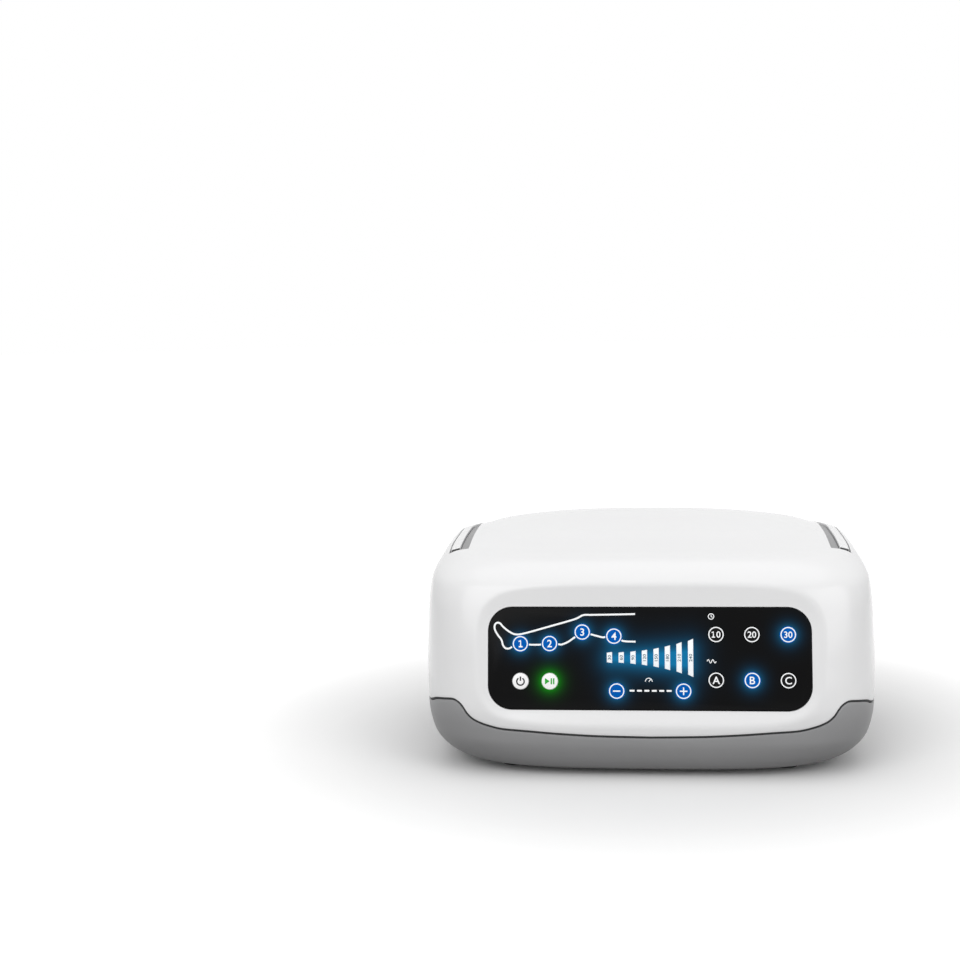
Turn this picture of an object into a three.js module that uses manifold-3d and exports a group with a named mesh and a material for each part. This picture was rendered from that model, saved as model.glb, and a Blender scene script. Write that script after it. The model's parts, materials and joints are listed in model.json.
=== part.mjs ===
// A table-top air pump for compression therapy, as an assembly of separate pieces.
// Millimetres, +Z up. X is the width and the control panel faces -Y.
// The origin is on the table, under the middle of the housing.

import * as THREE from 'three';
import { mergeVertices } from 'three/addons/utils/BufferGeometryUtils.js';
import Module from 'manifold-3d';

const wasm = await Module();
wasm.setup();

// Overall size and general walls
const HALF_WIDTH = 130;
const HALF_DEPTH = 100;
const TOTAL_HEIGHT = 138.5;
const FOOT_LIFT = 2.5;
const WALL = 2.5;
const FIT = 0.3;
const CUT_OVERRUN = 40;
const WELD = 1;

// Housing skin. Each row is one level ring: height, half width, front reach and back reach as
// shares of the body height, HALF_WIDTH and HALF_DEPTH, then the squareness of the ring.
const SKIN_LEVEL_SHARES = [
  [0, 0.738, 0.825, 0.855, 3.2],
  [0.0186, 0.854, 0.9, 0.925, 3.6],
  [0.0483, 0.9115, 0.94, 0.955, 3.8],
  [0.093, 0.9515, 0.973, 0.98, 4.2],
  [0.145, 0.977, 0.993, 0.992, 4.6],
  [0.2565, 0.996, 0.998, 0.9955, 5],
  [0.465, 1, 0.949, 0.9955, 5],
  [0.673, 0.994, 0.881, 0.993, 5],
  [0.777, 0.9815, 0.831, 0.975, 4.7],
  [0.818, 0.9655, 0.791, 0.955, 4.4],
  [0.851, 0.9445, 0.741, 0.93, 4.1],
  [0.877, 0.928, 0.68, 0.9, 3.9],
  [0.889, 0.9155, 0.605, 0.86, 3.8],
  [0.8965, 0.89, 0.525, 0.815, 3.7],
  [0.9195, 0.8, 0.34, 0.71, 3.3],
  [0.945, 0.7077, 0.21, 0.63, 3.1],
  [0.983, 0.4154, -0.08, 0.42, 2.7],
  [0.9948, 0.2308, -0.15, 0.3, 2.4],
];
const RING_CENTRE_LOW_SHARE = -0.185;
const RING_CENTRE_HIGH_SHARE = 0.21;
const RING_CENTRE_START_SHARE = 0.762;
const RING_SEGMENTS = 40;

// Parting line between cover and base: level at the sides and back, dipping along the front.
// Each row is the distance from the middle as a share of HALF_WIDTH, and the share of the dip.
// Its height and its dip are shares of TOTAL_HEIGHT.
const SEAM_HEIGHT_SHARE = 0.2866;
const SEAM_DIP_SHARE = 0.1032;
const SEAM_GAP = 1.2;
const SEAL_THICKNESS = 0.6;
const SEAL_SETBACK = 0.4;
const SEAM_POINT_SHARES = [
  [0, 1], [0.215, 0.965], [0.388, 0.888], [0.534, 0.797], [0.634, 0.741], [0.703, 0.615],
  [0.76, 0.427], [0.792, 0.189], [0.808, -0.021], [0.828, -0.217], [0.858, -0.329],
  [0.896, -0.287], [0.936, -0.21], [0.98, 0], [1.2, 0],
];
const SEAM_CURVE_STEPS = 32;

// Control panel, tilted back, with its recess in the cover
// Its width is a share of the whole width, and its height and middle are shares of TOTAL_HEIGHT
const PANEL_WIDTH_SHARE = 0.696;
const PANEL_HEIGHT_SHARE = 0.416;
const PANEL_CENTRE_SHARE = 0.4942;
const PANEL_CORNER = 13.5;
const PANEL_THICKNESS = 3;
const PANEL_RECESS = 4.6;
const PANEL_TILT = THREE.MathUtils.degToRad(12.5);
const PANEL_RIM = 1;
const PANEL_LIP = 4;
const BED_THICKNESS = 3.3;
const BED_MARGIN = 3;
const RAMP_REACH = 12;
const RAMP_TOP_RATIO = 6;
const RAMP_SIDE_RATIO = 8;
const RAMP_BOTTOM_RATIO = 4.3;

// Keys: round caps in the panel, each with a flange behind it and a short travel
const KEY_RADIUS = 4.5;
const KEY_HOLE_GAP = 0.3;
const KEY_PROUD = 0.2;
const KEY_FLANGE = 1.1;
const KEY_FLANGE_THICKNESS = 1.2;
const KEY_SEGMENTS = 16;
// Name, then the place from the middle of the panel as shares of its half width and half height
const KEY_PLACE_SHARES = [
  ['key_chamber_1', -0.799, 0.28], ['key_chamber_2', -0.616, 0.285],
  ['key_chamber_3', -0.412, 0.511], ['key_chamber_4', -0.215, 0.432],
  ['key_power', -0.798, -0.45], ['key_play_pause', -0.615, -0.45],
  ['key_pressure_down', -0.199, -0.634], ['key_pressure_up', 0.214, -0.63],
  ['key_time_10', 0.416, 0.47], ['key_time_20', 0.636, 0.47], ['key_time_30', 0.858, 0.47],
  ['key_mode_a', 0.415, -0.415], ['key_mode_b', 0.636, -0.415], ['key_mode_c', 0.856, -0.415],
];

// Pressure scale: eight lit bars that grow to the right, on one light guide behind the panel
const BAR_WIDTH = 3;
const BAR_LIFT = 0.5;
// Place along the panel as a share of its half width, and length as a share of its height
const BAR_SHARES = [
  [-0.243, 0.1], [-0.17, 0.102], [-0.097, 0.12], [-0.026, 0.144],
  [0.046, 0.179], [0.116, 0.227], [0.188, 0.285], [0.259, 0.349],
];
const BAR_TAPER_SHARE = 0.035;
const BAR_GAP = 0.3;
const GUIDE_PLATE = 1.5;
const GUIDE_MARGIN = 1.6;
const GUIDE_SETBACK = 0.1;

// Boards and mat behind the panel
const MAT_THICKNESS = 1.2;
const MAT_EDGE_GAP = 1.5;
const BOARD_THICKNESS = 1.6;
const DISPLAY_BOARD_OVERLAP = 1.5;
const RECEIVER_WIDTH = 6;
const RECEIVER_HEIGHT = 5;
const RECEIVER_DEPTH = 3.2;
const RECEIVER_GAP = 0.6;
const RECEIVER_PLACE_SHARES = [0.055, 0.6];

// Folding carry handle, lying in a channel round the top. Its drop is a share of TOTAL_HEIGHT
// and its pivots stand forward by a share of HALF_DEPTH.
const HANDLE_SIDE_INSET = 13.5;
const HANDLE_BACK_INSET = 13;
const HANDLE_CORNER = 50;
const HANDLE_ARM_WIDTH = 5.4;
const HANDLE_BAR_WIDTH = 10.5;
const HANDLE_DROP_SHARE = 0.1841;
const HANDLE_GAP = 0.4;
const PIVOT_SETBACK_SHARE = 0.325;
const PIVOT_LIFT = 4.9;
const PIVOT_END_RADIUS = 4.7;
const PIVOT_PIN_RADIUS = 1.5;
const PIVOT_HOLE_GAP = 0.3;
const PIVOT_PIN_END_GAP = 0.4;
const PIVOT_BITE = 2.2;
const SLOT_LENGTH = 3.8;
const TRAY_FLOOR = 2;
const TRAY_STRIP_WIDTH = 4.8;
const TRAY_STRIP_DROP = 1.5;
const FINGER_WELL_HALF_WIDTH = 44;
const FINGER_WELL_LENGTH = 19;
const CORNER_SEGMENTS = 7;

// Feet, case screws and their columns
// Places as shares of HALF_WIDTH and HALF_DEPTH
const FOOT_PLACE_SHARES = [0.6, 0.62];
const FOOT_RADIUS = 8;
const FOOT_BORE_RADIUS = 3.8;
const FOOT_SEAT_DEPTH = 1.5;
const FOOT_EDGE = 0.8;
const SCREW_RADIUS = 1.5;
const SCREW_HEAD_RADIUS = 3.1;
const SCREW_HEAD_HEIGHT = 2.4;
const SCREW_HEAD_SEAT = 7.5;
const SCREW_HOLE_GAP = 0.3;
const SCREW_BITE = 10;
const BOSS_RADIUS = 5;
const BOSS_TOP = 34;
const ROUND_SEGMENTS = 20;

// Hose sockets in the back of the cover, placed by shares of HALF_WIDTH and TOTAL_HEIGHT
const OUTLET_PLACE_SHARES = [0.27, 0.52];
const OUTLET_WIDTH = 50;
const OUTLET_HEIGHT = 20;
const OUTLET_DEPTH = 18;
const OUTLET_WALL = 3;
const OUTLET_POCKET_DEPTH = 14;
const OUTLET_SETBACK = 0.8;
const SPIGOT_RADIUS = 2.2;
const SPIGOT_LENGTH = 6.5;
const SPIGOT_COUNT = 4;
const SPIGOT_SPACING = 10.5;
const SPIGOT_SEGMENTS = 10;

// Mains inlet and intake slots in the back of the base, placed as the hose sockets are
const INLET_PLACE_SHARES = [0.34, 0.1913];
const INLET_WIDTH = 26;
const INLET_HEIGHT = 16;
const INLET_DEPTH = 17;
const INLET_WALL = 3.5;
const INLET_POCKET_DEPTH = 12;
const INLET_SETBACK = 2.2;
const INLET_PIN_RADIUS = 1.2;
const INLET_PIN_LENGTH = 6;
const INLET_PIN_SPACING = 8.6;
const VENT_COUNT = 8;
const VENT_PLACE_SHARE = -0.415;
const VENT_WIDTH = 3;
const VENT_PITCH = 6;
const VENT_LOW_Z = 12;
const VENT_HIGH_Z = 28;

// Compressor: motor, crank case and two diaphragm heads on a sprung bracket.
// Its lengths are shares of HALF_WIDTH, and its place and sizes across are shares of HALF_DEPTH.
const MOTOR_PLACE_SHARE = 0.18;
const MOTOR_LIFT = 22.5;
const MOTOR_RADIUS = 18;
const MOTOR_LENGTH_SHARE = 0.338;
const MOTOR_WALL = 1.5;
const ROTOR_RADIUS = 14;
const ROTOR_LENGTH_SHARE = 0.26;
const ROTOR_END_GAP = 4;
const SHAFT_RADIUS = 2;
const SHAFT_GAP = 0.4;
const SHAFT_TAIL = 2;
const SHAFT_NOSE = 14;
const CRANK_RADIUS = 6;
const CRANK_OFFSET = 2;
const CRANK_LENGTH = 6;
const CRANK_START = 4;
const BRACKET_FACE_SHARE = 0.218;
const BRACKET_THICKNESS = 1.6;
const BRACKET_FLANGE_THICKNESS = 2;
const BRACKET_BEHIND_SHARE = 0.385;
const BRACKET_AHEAD_SHARE = 0.323;
const BRACKET_HALF_WIDTH_SHARE = 0.26;
const FLANGE_HALF_WIDTH_SHARE = 0.18;
const FLANGE_OVER_AXIS = 18;
const ISOLATOR_RADIUS = 5;
const ISOLATOR_WAIST = 3.6;
const ISOLATOR_HEIGHT = 8;
const ISOLATOR_EDGE = 7;
const CASE_LENGTH_SHARE = 0.27;
const CASE_HALF_WIDTH_SHARE = 0.22;
const CASE_OVER_AXIS = 20;
const CASE_BORE_RADIUS = 10;
const CASE_BORE_DEPTH = 18;
const HEAD_RADIUS = 14;
const HEAD_THICKNESS_SHARE = 0.117;
const NIPPLE_RADIUS = 2.5;
const NIPPLE_LENGTH = 8;

// Valve block at the back, with one solenoid valve for each air chamber
const MANIFOLD_HALF_LENGTH = 58;
const MANIFOLD_CLEARANCE = 2.1;
const MANIFOLD_HALF_WIDTH_SHARE = 0.09;
const MANIFOLD_LIFT = 11;
const MANIFOLD_HEIGHT = 18;
const MANIFOLD_RIB = 6;
const MANIFOLD_RIB_X = 46;
const VALVE_OUTER_X = 47;
const VALVE_INNER_X = 23;
const VALVE_HALF_WIDTH = 8;
const VALVE_HALF_DEPTH = 7;
const VALVE_HEIGHT_SHARE = 0.166;
const VALVE_CAP_RADIUS = 5;
const VALVE_CAP_HEIGHT = 4.7;
const MANIFOLD_INLET_X = 6;
const HOSE_RADIUS = 3;
const HOSE_SIDES = 8;
const HOSE_STEPS = 18;
const HOSE_RISE = 20;
const HOSE_LEAD = 4;
// Middle points of each hose: shares of the way across, the way back and the rise over the head
const FRONT_HOSE_SHARES = [[0.12, 0.2, 0.9], [0.52, 0.58, 1], [0.86, 0.86, 0.6]];
const REAR_HOSE_SHARES = [[0.24, 0.28, 0.55], [0.66, 0.6, 0.5], [0.93, 0.88, 0.2]];
const RIBBON_HALF_WIDTH = 10;
const RIBBON_HALF_THICKNESS = 2.4;
const RIBBON_STEPS = 8;

// Main board and power supply. The board's width is a share of HALF_WIDTH, and the reaches to
// the front and back are shares of HALF_DEPTH.
const POST_RADIUS = 3;
const POST_HEIGHT = 7;
const POST_SEGMENTS = 12;
const MAIN_BOARD_SIDE_GAP = 24;
const MAIN_BOARD_WIDTH_SHARE = 0.54;
const MAIN_BOARD_FRONT_SHARE = 0.46;
const MAIN_BOARD_BACK_SHARE = 0.4;
const POST_EDGE = 6;
const COMPONENT_HEIGHT = 8;
const CAPACITOR_RADIUS = 6;
const CAPACITOR_HEIGHT = 18;
const SENSOR_SIZE = 10;
const SENSOR_HEIGHT = 6;
const SUPPLY_SIDE_GAP = 18;
const SUPPLY_WIDTH = 30;
const SUPPLY_LENGTH_SHARE = 0.4;
const SUPPLY_HEIGHT = 32;
const SUPPLY_FLANGE = 3;
const SUPPLY_STEP = 6;

// Values that follow from the sizes above
const BODY_HEIGHT = TOTAL_HEIGHT - FOOT_LIFT;
const FLOOR_Z = FOOT_LIFT + WALL;
const SEAM_HEIGHT = SEAM_HEIGHT_SHARE * TOTAL_HEIGHT;
const SEAM_DIP = SEAM_DIP_SHARE * TOTAL_HEIGHT;
const PANEL_HALF_W = PANEL_WIDTH_SHARE * HALF_WIDTH;
const PANEL_HEIGHT = PANEL_HEIGHT_SHARE * TOTAL_HEIGHT;
const PANEL_HALF_H = PANEL_HEIGHT / 2;
const PANEL_CENTRE_Z = PANEL_CENTRE_SHARE * TOTAL_HEIGHT;
const FOOT_X = FOOT_PLACE_SHARES[0] * HALF_WIDTH;
const FOOT_Y = FOOT_PLACE_SHARES[1] * HALF_DEPTH;
const OUTLET_X = OUTLET_PLACE_SHARES[0] * HALF_WIDTH;
const OUTLET_Z = OUTLET_PLACE_SHARES[1] * TOTAL_HEIGHT;
const INLET_X = INLET_PLACE_SHARES[0] * HALF_WIDTH;
const INLET_Z = INLET_PLACE_SHARES[1] * TOTAL_HEIGHT;
const MOTOR_Y = MOTOR_PLACE_SHARE * HALF_DEPTH;
const BRACKET_FACE_X = BRACKET_FACE_SHARE * HALF_WIDTH;
const BRACKET_BEHIND = BRACKET_BEHIND_SHARE * HALF_WIDTH;
const BRACKET_AHEAD = BRACKET_AHEAD_SHARE * HALF_WIDTH;
const BRACKET_HALF_WIDTH = BRACKET_HALF_WIDTH_SHARE * HALF_DEPTH;
const CASE_LENGTH = CASE_LENGTH_SHARE * HALF_WIDTH;
const CASE_HALF_WIDTH = CASE_HALF_WIDTH_SHARE * HALF_DEPTH;
const HEAD_THICKNESS = HEAD_THICKNESS_SHARE * HALF_DEPTH;
const MANIFOLD_HALF_WIDTH = MANIFOLD_HALF_WIDTH_SHARE * HALF_DEPTH;
const VALVE_HEIGHT = VALVE_HEIGHT_SHARE * TOTAL_HEIGHT;
const MAIN_BOARD_FRONT = MAIN_BOARD_FRONT_SHARE * HALF_DEPTH;
const MAIN_BOARD_BACK = MAIN_BOARD_BACK_SHARE * HALF_DEPTH;
const SUPPLY_HALF_LENGTH = SUPPLY_LENGTH_SHARE * HALF_DEPTH;
const BED_BACK = -(PANEL_THICKNESS + FIT + BED_THICKNESS);

// Turns a closed three.js geometry into a solid for cutting and joining
function solid(geometry) {
  const bare = geometry.clone();
  bare.deleteAttribute('normal');
  bare.deleteAttribute('uv');
  const merged = mergeVertices(bare);
  return new wasm.Manifold(new wasm.Mesh({
    numProp: 3,
    vertProperties: new Float32Array(merged.attributes.position.array),
    triVerts: new Uint32Array(merged.index.array),
  }));
}

// Turns a solid back into a three.js geometry
function geometryOf(body) {
  const mesh = body.getMesh();
  const geometry = new THREE.BufferGeometry();
  geometry.setAttribute('position', new THREE.BufferAttribute(mesh.vertProperties, 3));
  geometry.setIndex(new THREE.BufferAttribute(mesh.triVerts, 1));
  geometry.computeVertexNormals();
  return geometry;
}

// A box between two corners
function box(low, high) {
  const size = high.map((value, axis) => value - low[axis]);
  const middle = high.map((value, axis) => (value + low[axis]) / 2);
  return solid(new THREE.BoxGeometry(...size).translate(...middle));
}

// A cylinder along one axis, centred across it, from low to high along it
function rod(axis, radius, centre, low, high, segments = ROUND_SEGMENTS) {
  const geometry = new THREE.CylinderGeometry(radius, radius, high - low, segments);
  const middle = (low + high) / 2;
  if (axis === 'x') {
    geometry.rotateZ(-Math.PI / 2).translate(middle, centre[0], centre[1]);
  } else if (axis === 'y') {
    geometry.translate(centre[0], middle, centre[1]);
  } else {
    geometry.rotateX(Math.PI / 2).translate(centre[0], centre[1], middle);
  }
  return solid(geometry);
}

// A body turned about the Z axis from [radius, height] points, standing at a place
function turned(profile, place, segments = ROUND_SEGMENTS) {
  const points = profile.map(([radius, height]) => new THREE.Vector2(radius, height));
  return solid(new THREE.LatheGeometry(points, segments).rotateX(Math.PI / 2).translate(...place));
}

// An outline raised along Z from low to high
function raised(shape, low, high, segments = CORNER_SEGMENTS) {
  const options = { depth: high - low, bevelEnabled: false, curveSegments: segments };
  return solid(new THREE.ExtrudeGeometry(shape, options).translate(0, 0, low));
}

// All solids joined into one
function joined(first, ...others) {
  return others.reduce((sum, body) => sum.add(body), first);
}

// One solid less all the others
function less(first, ...others) {
  return others.reduce((rest, body) => rest.subtract(body), first);
}

// A closed surface through rings of equal point counts, with a flat or pointed end at each side
function lofted(rings, lowTip, highTip) {
  const count = rings[0].length;
  const positions = [...rings.flat(), lowTip, highTip].flat();
  const index = [];
  for (let level = 0; level + 1 < rings.length; level += 1) {
    for (let i = 0; i < count; i += 1) {
      const a = level * count + i;
      const b = level * count + (i + 1) % count;
      index.push(a, b, b + count, a, b + count, a + count);
    }
  }
  const last = (rings.length - 1) * count;
  for (let i = 0; i < count; i += 1) {
    const next = (i + 1) % count;
    index.push(rings.length * count, next, i);
    index.push(rings.length * count + 1, last + i, last + next);
  }
  const geometry = new THREE.BufferGeometry();
  geometry.setAttribute('position', new THREE.Float32BufferAttribute(positions, 3));
  geometry.setIndex(index);
  return solid(geometry);
}

// Housing skin
function ringCentreY(heightShare) {
  const span = THREE.MathUtils.smoothstep(heightShare, RING_CENTRE_START_SHARE, 1);
  return THREE.MathUtils.lerp(RING_CENTRE_LOW_SHARE, RING_CENTRE_HIGH_SHARE, span) * HALF_DEPTH;
}

function skinRing([heightShare, widthShare, frontShare, backShare, squareness], inset) {
  const halfWidth = widthShare * HALF_WIDTH - inset;
  const centreY = ringCentreY(heightShare);
  const front = centreY + frontShare * HALF_DEPTH - inset;
  const back = backShare * HALF_DEPTH - centreY - inset;
  const z = FOOT_LIFT + inset + heightShare * (BODY_HEIGHT - 2 * inset);
  const ring = [];
  for (let i = 0; i < RING_SEGMENTS; i += 1) {
    const turn = 2 * Math.PI * i / RING_SEGMENTS;
    const across = Math.sign(Math.cos(turn)) * Math.abs(Math.cos(turn)) ** (2 / squareness);
    const along = Math.sign(Math.sin(turn)) * Math.abs(Math.sin(turn)) ** (2 / squareness);
    ring.push([halfWidth * across, centreY + along * (along < 0 ? front : back), z]);
  }
  return ring;
}

function skin(inset, rows = SKIN_LEVEL_SHARES) {
  const rings = rows.map((row) => skinRing(row, inset));
  const crestY = RING_CENTRE_HIGH_SHARE * HALF_DEPTH;
  return lofted(rings, [0, ringCentreY(0), FOOT_LIFT + inset], [0, crestY, TOTAL_HEIGHT - inset]);
}

// Reach of the skin to the front and back at a height, in the middle of the width
function skinReach(z) {
  const share = (z - FOOT_LIFT) / BODY_HEIGHT;
  const above = SKIN_LEVEL_SHARES.findIndex(([heightShare]) => heightShare > share);
  const [low, high] = [SKIN_LEVEL_SHARES[above - 1], SKIN_LEVEL_SHARES[above]];
  const blend = (share - low[0]) / (high[0] - low[0]);
  return {
    front: -THREE.MathUtils.lerp(low[2], high[2], blend) * HALF_DEPTH,
    back: THREE.MathUtils.lerp(low[3], high[3], blend) * HALF_DEPTH,
  };
}

const outerSkin = skin(0);
const innerSkin = skin(WALL, SKIN_LEVEL_SHARES.filter((row, i) => i % 3 !== 1));

// Everything below the parting line, with the line moved out along its normal by an offset
function belowSeam(offset) {
  const half = SEAM_POINT_SHARES.map(([across, dip]) => (
    new THREE.Vector2(across * HALF_WIDTH, SEAM_HEIGHT - dip * SEAM_DIP)));
  const mirrored = half.slice(1).reverse().map((point) => new THREE.Vector2(-point.x, point.y));
  const curve = new THREE.SplineCurve([...mirrored, ...half]);
  const line = [];
  for (let i = 0; i <= SEAM_CURVE_STEPS; i += 1) {
    const point = curve.getPointAt(i / SEAM_CURVE_STEPS);
    const tangent = curve.getTangentAt(i / SEAM_CURVE_STEPS);
    line.push(new THREE.Vector2(point.x - tangent.y * offset, point.y + tangent.x * offset));
  }
  const reach = line.at(-1).x;
  const wavy = new THREE.Shape([
    new THREE.Vector2(-reach, -CUT_OVERRUN), ...line, new THREE.Vector2(reach, -CUT_OVERRUN),
  ]);
  const depth = HALF_DEPTH + CUT_OVERRUN;
  const front = solid(new THREE.ExtrudeGeometry(wavy, { depth, bevelEnabled: false })
    .rotateX(Math.PI / 2));
  const back = box([-reach, -FIT, -CUT_OVERRUN], [reach, depth, SEAM_HEIGHT + offset]);
  const sideOnly = box([-HALF_WIDTH / 2, -FIT, FLOOR_Z], [HALF_WIDTH / 2, 0, SEAM_HEIGHT + offset]);
  return joined(front, less(back, sideOnly));
}

// Panel frame: local x across, y up the slope and z out of the panel
const panelFrame = new THREE.Group();
panelFrame.position.set(0, skinReach(PANEL_CENTRE_Z).front + PANEL_RECESS, PANEL_CENTRE_Z);
panelFrame.rotation.x = Math.PI / 2 - PANEL_TILT;
panelFrame.updateMatrix();

function fromPanelFrame(body) {
  return body.transform(panelFrame.matrix.toArray());
}

// A rectangle with round corners, centred
function roundedRectangle(halfWidth, halfHeight, radius) {
  const shape = new THREE.Shape();
  shape.absarc(halfWidth - radius, halfHeight - radius, radius, 0, Math.PI / 2);
  shape.absarc(radius - halfWidth, halfHeight - radius, radius, Math.PI / 2, Math.PI);
  shape.absarc(radius - halfWidth, radius - halfHeight, radius, Math.PI, 1.5 * Math.PI);
  shape.absarc(halfWidth - radius, radius - halfHeight, radius, 1.5 * Math.PI, 2 * Math.PI);
  return shape;
}

// The hollow in front of the panel: a floor at a depth, with ramps that flare outwards
function panelHollow(depth, margin) {
  const [halfW, halfH] = [PANEL_HALF_W + margin, PANEL_HALF_H + margin];
  const radius = PANEL_CORNER + margin;
  const rings = [[], []];
  for (let corner = 0; corner < 4; corner += 1) {
    const signX = corner === 0 || corner === 3 ? 1 : -1;
    const signY = corner < 2 ? 1 : -1;
    for (let step = 0; step <= CORNER_SEGMENTS; step += 1) {
      const turn = (corner + step / CORNER_SEGMENTS) * Math.PI / 2;
      const [nx, ny] = [Math.cos(turn), Math.sin(turn)];
      const x = signX * (halfW - radius) + nx * radius;
      const y = signY * (halfH - radius) + ny * radius;
      const climb = ny > 0 ? RAMP_TOP_RATIO : RAMP_BOTTOM_RATIO;
      rings[0].push([x, y, depth]);
      rings[1].push([
        x + nx * RAMP_SIDE_RATIO * RAMP_REACH, y + ny * climb * RAMP_REACH, depth + RAMP_REACH,
      ]);
    }
  }
  return fromPanelFrame(lofted(rings, [0, 0, depth], [0, 0, depth + RAMP_REACH]));
}

// Handle plan outlines: straight sides from the front end, and round rear corners
function handleOutline(halfWidth, back, front, radius) {
  const shape = new THREE.Shape();
  shape.moveTo(halfWidth, front);
  shape.lineTo(halfWidth, back - radius);
  shape.absarc(halfWidth - radius, back - radius, radius, 0, Math.PI / 2);
  shape.absarc(radius - halfWidth, back - radius, radius, Math.PI / 2, Math.PI);
  shape.lineTo(-halfWidth, front);
  return shape;
}

const handle = {
  halfWidth: HALF_WIDTH - HANDLE_SIDE_INSET,
  back: HALF_DEPTH - HANDLE_BACK_INSET,
  bottom: (1 - HANDLE_DROP_SHARE) * TOTAL_HEIGHT,
  pivotY: -PIVOT_SETBACK_SHARE * HALF_DEPTH,
};
handle.pivotZ = handle.bottom + PIVOT_LIFT;
handle.front = handle.pivotY - PIVOT_END_RADIUS;
handle.slotFront = handle.front - SLOT_LENGTH;
handle.innerHalfWidth = handle.halfWidth - HANDLE_ARM_WIDTH;
handle.innerBack = handle.back - HANDLE_BAR_WIDTH;
handle.innerCorner = HANDLE_CORNER - (HANDLE_ARM_WIDTH + HANDLE_BAR_WIDTH) / 2;

// The ring-shaped zone round the island of the roof, grown outwards and inwards
function channelZone(outward, inward, front, low, high) {
  const outer = handleOutline(
    handle.halfWidth + outward, handle.back + outward, front, HANDLE_CORNER + outward);
  const inner = handleOutline(
    handle.innerHalfWidth - inward, handle.innerBack - inward, front - WELD,
    handle.innerCorner - inward);
  const wellFront = handle.innerBack - FINGER_WELL_LENGTH - inward;
  const well = box(
    [-FINGER_WELL_HALF_WIDTH - inward, wellFront, low],
    [FINGER_WELL_HALF_WIDTH + inward, handle.innerBack + WELD, high]);
  return joined(less(raised(outer, low, high), raised(inner, low - WELD, high + WELD)), well);
}

const skyZ = TOTAL_HEIGHT + CUT_OVERRUN;
const trayTop = handle.bottom - HANDLE_GAP;
const trayBottom = trayTop - TRAY_FLOOR;
const stripInward = HANDLE_GAP + TRAY_STRIP_WIDTH;

// Each pivot hole runs from the liner's inner wall, through the arm, into the cover's shoulder
const pivotHoleStart = handle.innerHalfWidth - stripInward;
const pivotHoleEnd = handle.halfWidth + HANDLE_GAP + FIT + PIVOT_BITE;

function pivotRod(side, radius, endGap) {
  const ends = [pivotHoleStart + endGap, pivotHoleEnd - endGap];
  const [low, high] = ends.map((end) => side * end).sort((a, b) => a - b);
  return rod('x', radius, [handle.pivotY, handle.pivotZ], low, high, POST_SEGMENTS);
}

function pivotHoles() {
  return [-1, 1].map((side) => pivotRod(side, PIVOT_PIN_RADIUS + PIVOT_HOLE_GAP, -FIT / 2));
}

// Places of the four case screws and of the feet round them
const footPlaces = [
  ['front_left', -FOOT_X, -FOOT_Y], ['front_right', FOOT_X, -FOOT_Y],
  ['rear_left', -FOOT_X, FOOT_Y], ['rear_right', FOOT_X, FOOT_Y],
];

// Back openings
const outletBackY = skinReach(OUTLET_Z).back - OUTLET_SETBACK;
const inletBackY = skinReach(INLET_Z).back - INLET_SETBACK;
const manifoldY = inletBackY - INLET_DEPTH - MANIFOLD_CLEARANCE - MANIFOLD_HALF_WIDTH;

function backBlock(centreX, centreZ, width, height, growth, low, high) {
  return box(
    [centreX - width / 2 - growth, low, centreZ - height / 2 - growth],
    [centreX + width / 2 + growth, high, centreZ + height / 2 + growth]);
}

// Top cover: the upper shell, thickened behind the panel and under the handle channel
function topCover() {
  const block = panelHollow(BED_BACK, PANEL_RIM + BED_MARGIN);
  const troughGrowth = FIT + WALL;
  const trough = channelZone(
    HANDLE_GAP + troughGrowth, stripInward + troughGrowth, handle.slotFront - troughGrowth,
    trayBottom - troughGrowth, skyZ);
  const columns = footPlaces.map(([, x, y]) => (
    rod('z', BOSS_RADIUS, [x, y], BOSS_TOP + FIT, skyZ, ROUND_SEGMENTS / 2)));
  const cavity = less(innerSkin, block, trough, ...columns);
  const pocketOutline = roundedRectangle(
    PANEL_HALF_W + FIT, PANEL_HALF_H + FIT, PANEL_CORNER + FIT);
  const pocket = fromPanelFrame(raised(pocketOutline, -(PANEL_THICKNESS + FIT), FIT));
  const windowOutline = roundedRectangle(
    PANEL_HALF_W - PANEL_LIP, PANEL_HALF_H - PANEL_LIP, PANEL_CORNER - PANEL_LIP);
  const window = fromPanelFrame(raised(windowOutline, BED_BACK - WELD, 0));
  const channel = channelZone(
    HANDLE_GAP + FIT, stripInward + FIT, handle.slotFront - FIT, trayBottom - FIT, skyZ);
  const sockets = [-OUTLET_X, OUTLET_X].map((x) => backBlock(
    x, OUTLET_Z, OUTLET_WIDTH, OUTLET_HEIGHT, FIT, outletBackY - OUTLET_DEPTH - FIT,
    HALF_DEPTH + CUT_OVERRUN));
  const screwHoles = footPlaces.map(([, x, y]) => rod(
    'z', SCREW_RADIUS + SCREW_HOLE_GAP, [x, y], BOSS_TOP - WELD,
    BOSS_TOP + SCREW_BITE + 2 * WELD, POST_SEGMENTS));
  return less(
    outerSkin, belowSeam(SEAM_GAP / 2), cavity, panelHollow(0, PANEL_RIM), pocket, window,
    channel, ...sockets, ...screwHoles, ...pivotHoles());
}

// Base shell: the lower tray with its columns, posts, foot seats and back openings
const mainBoard = {
  left: -HALF_WIDTH + MAIN_BOARD_SIDE_GAP,
  right: (MAIN_BOARD_WIDTH_SHARE - 1) * HALF_WIDTH + MAIN_BOARD_SIDE_GAP,
  bottom: FLOOR_Z + POST_HEIGHT + FIT,
};
const supply = {
  left: HALF_WIDTH - SUPPLY_SIDE_GAP - SUPPLY_WIDTH,
  right: HALF_WIDTH - SUPPLY_SIDE_GAP,
  bottom: FLOOR_Z + POST_HEIGHT + FIT,
};
const manifoldBottom = FLOOR_Z + MANIFOLD_LIFT;
const manifoldTop = manifoldBottom + MANIFOLD_HEIGHT;

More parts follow.
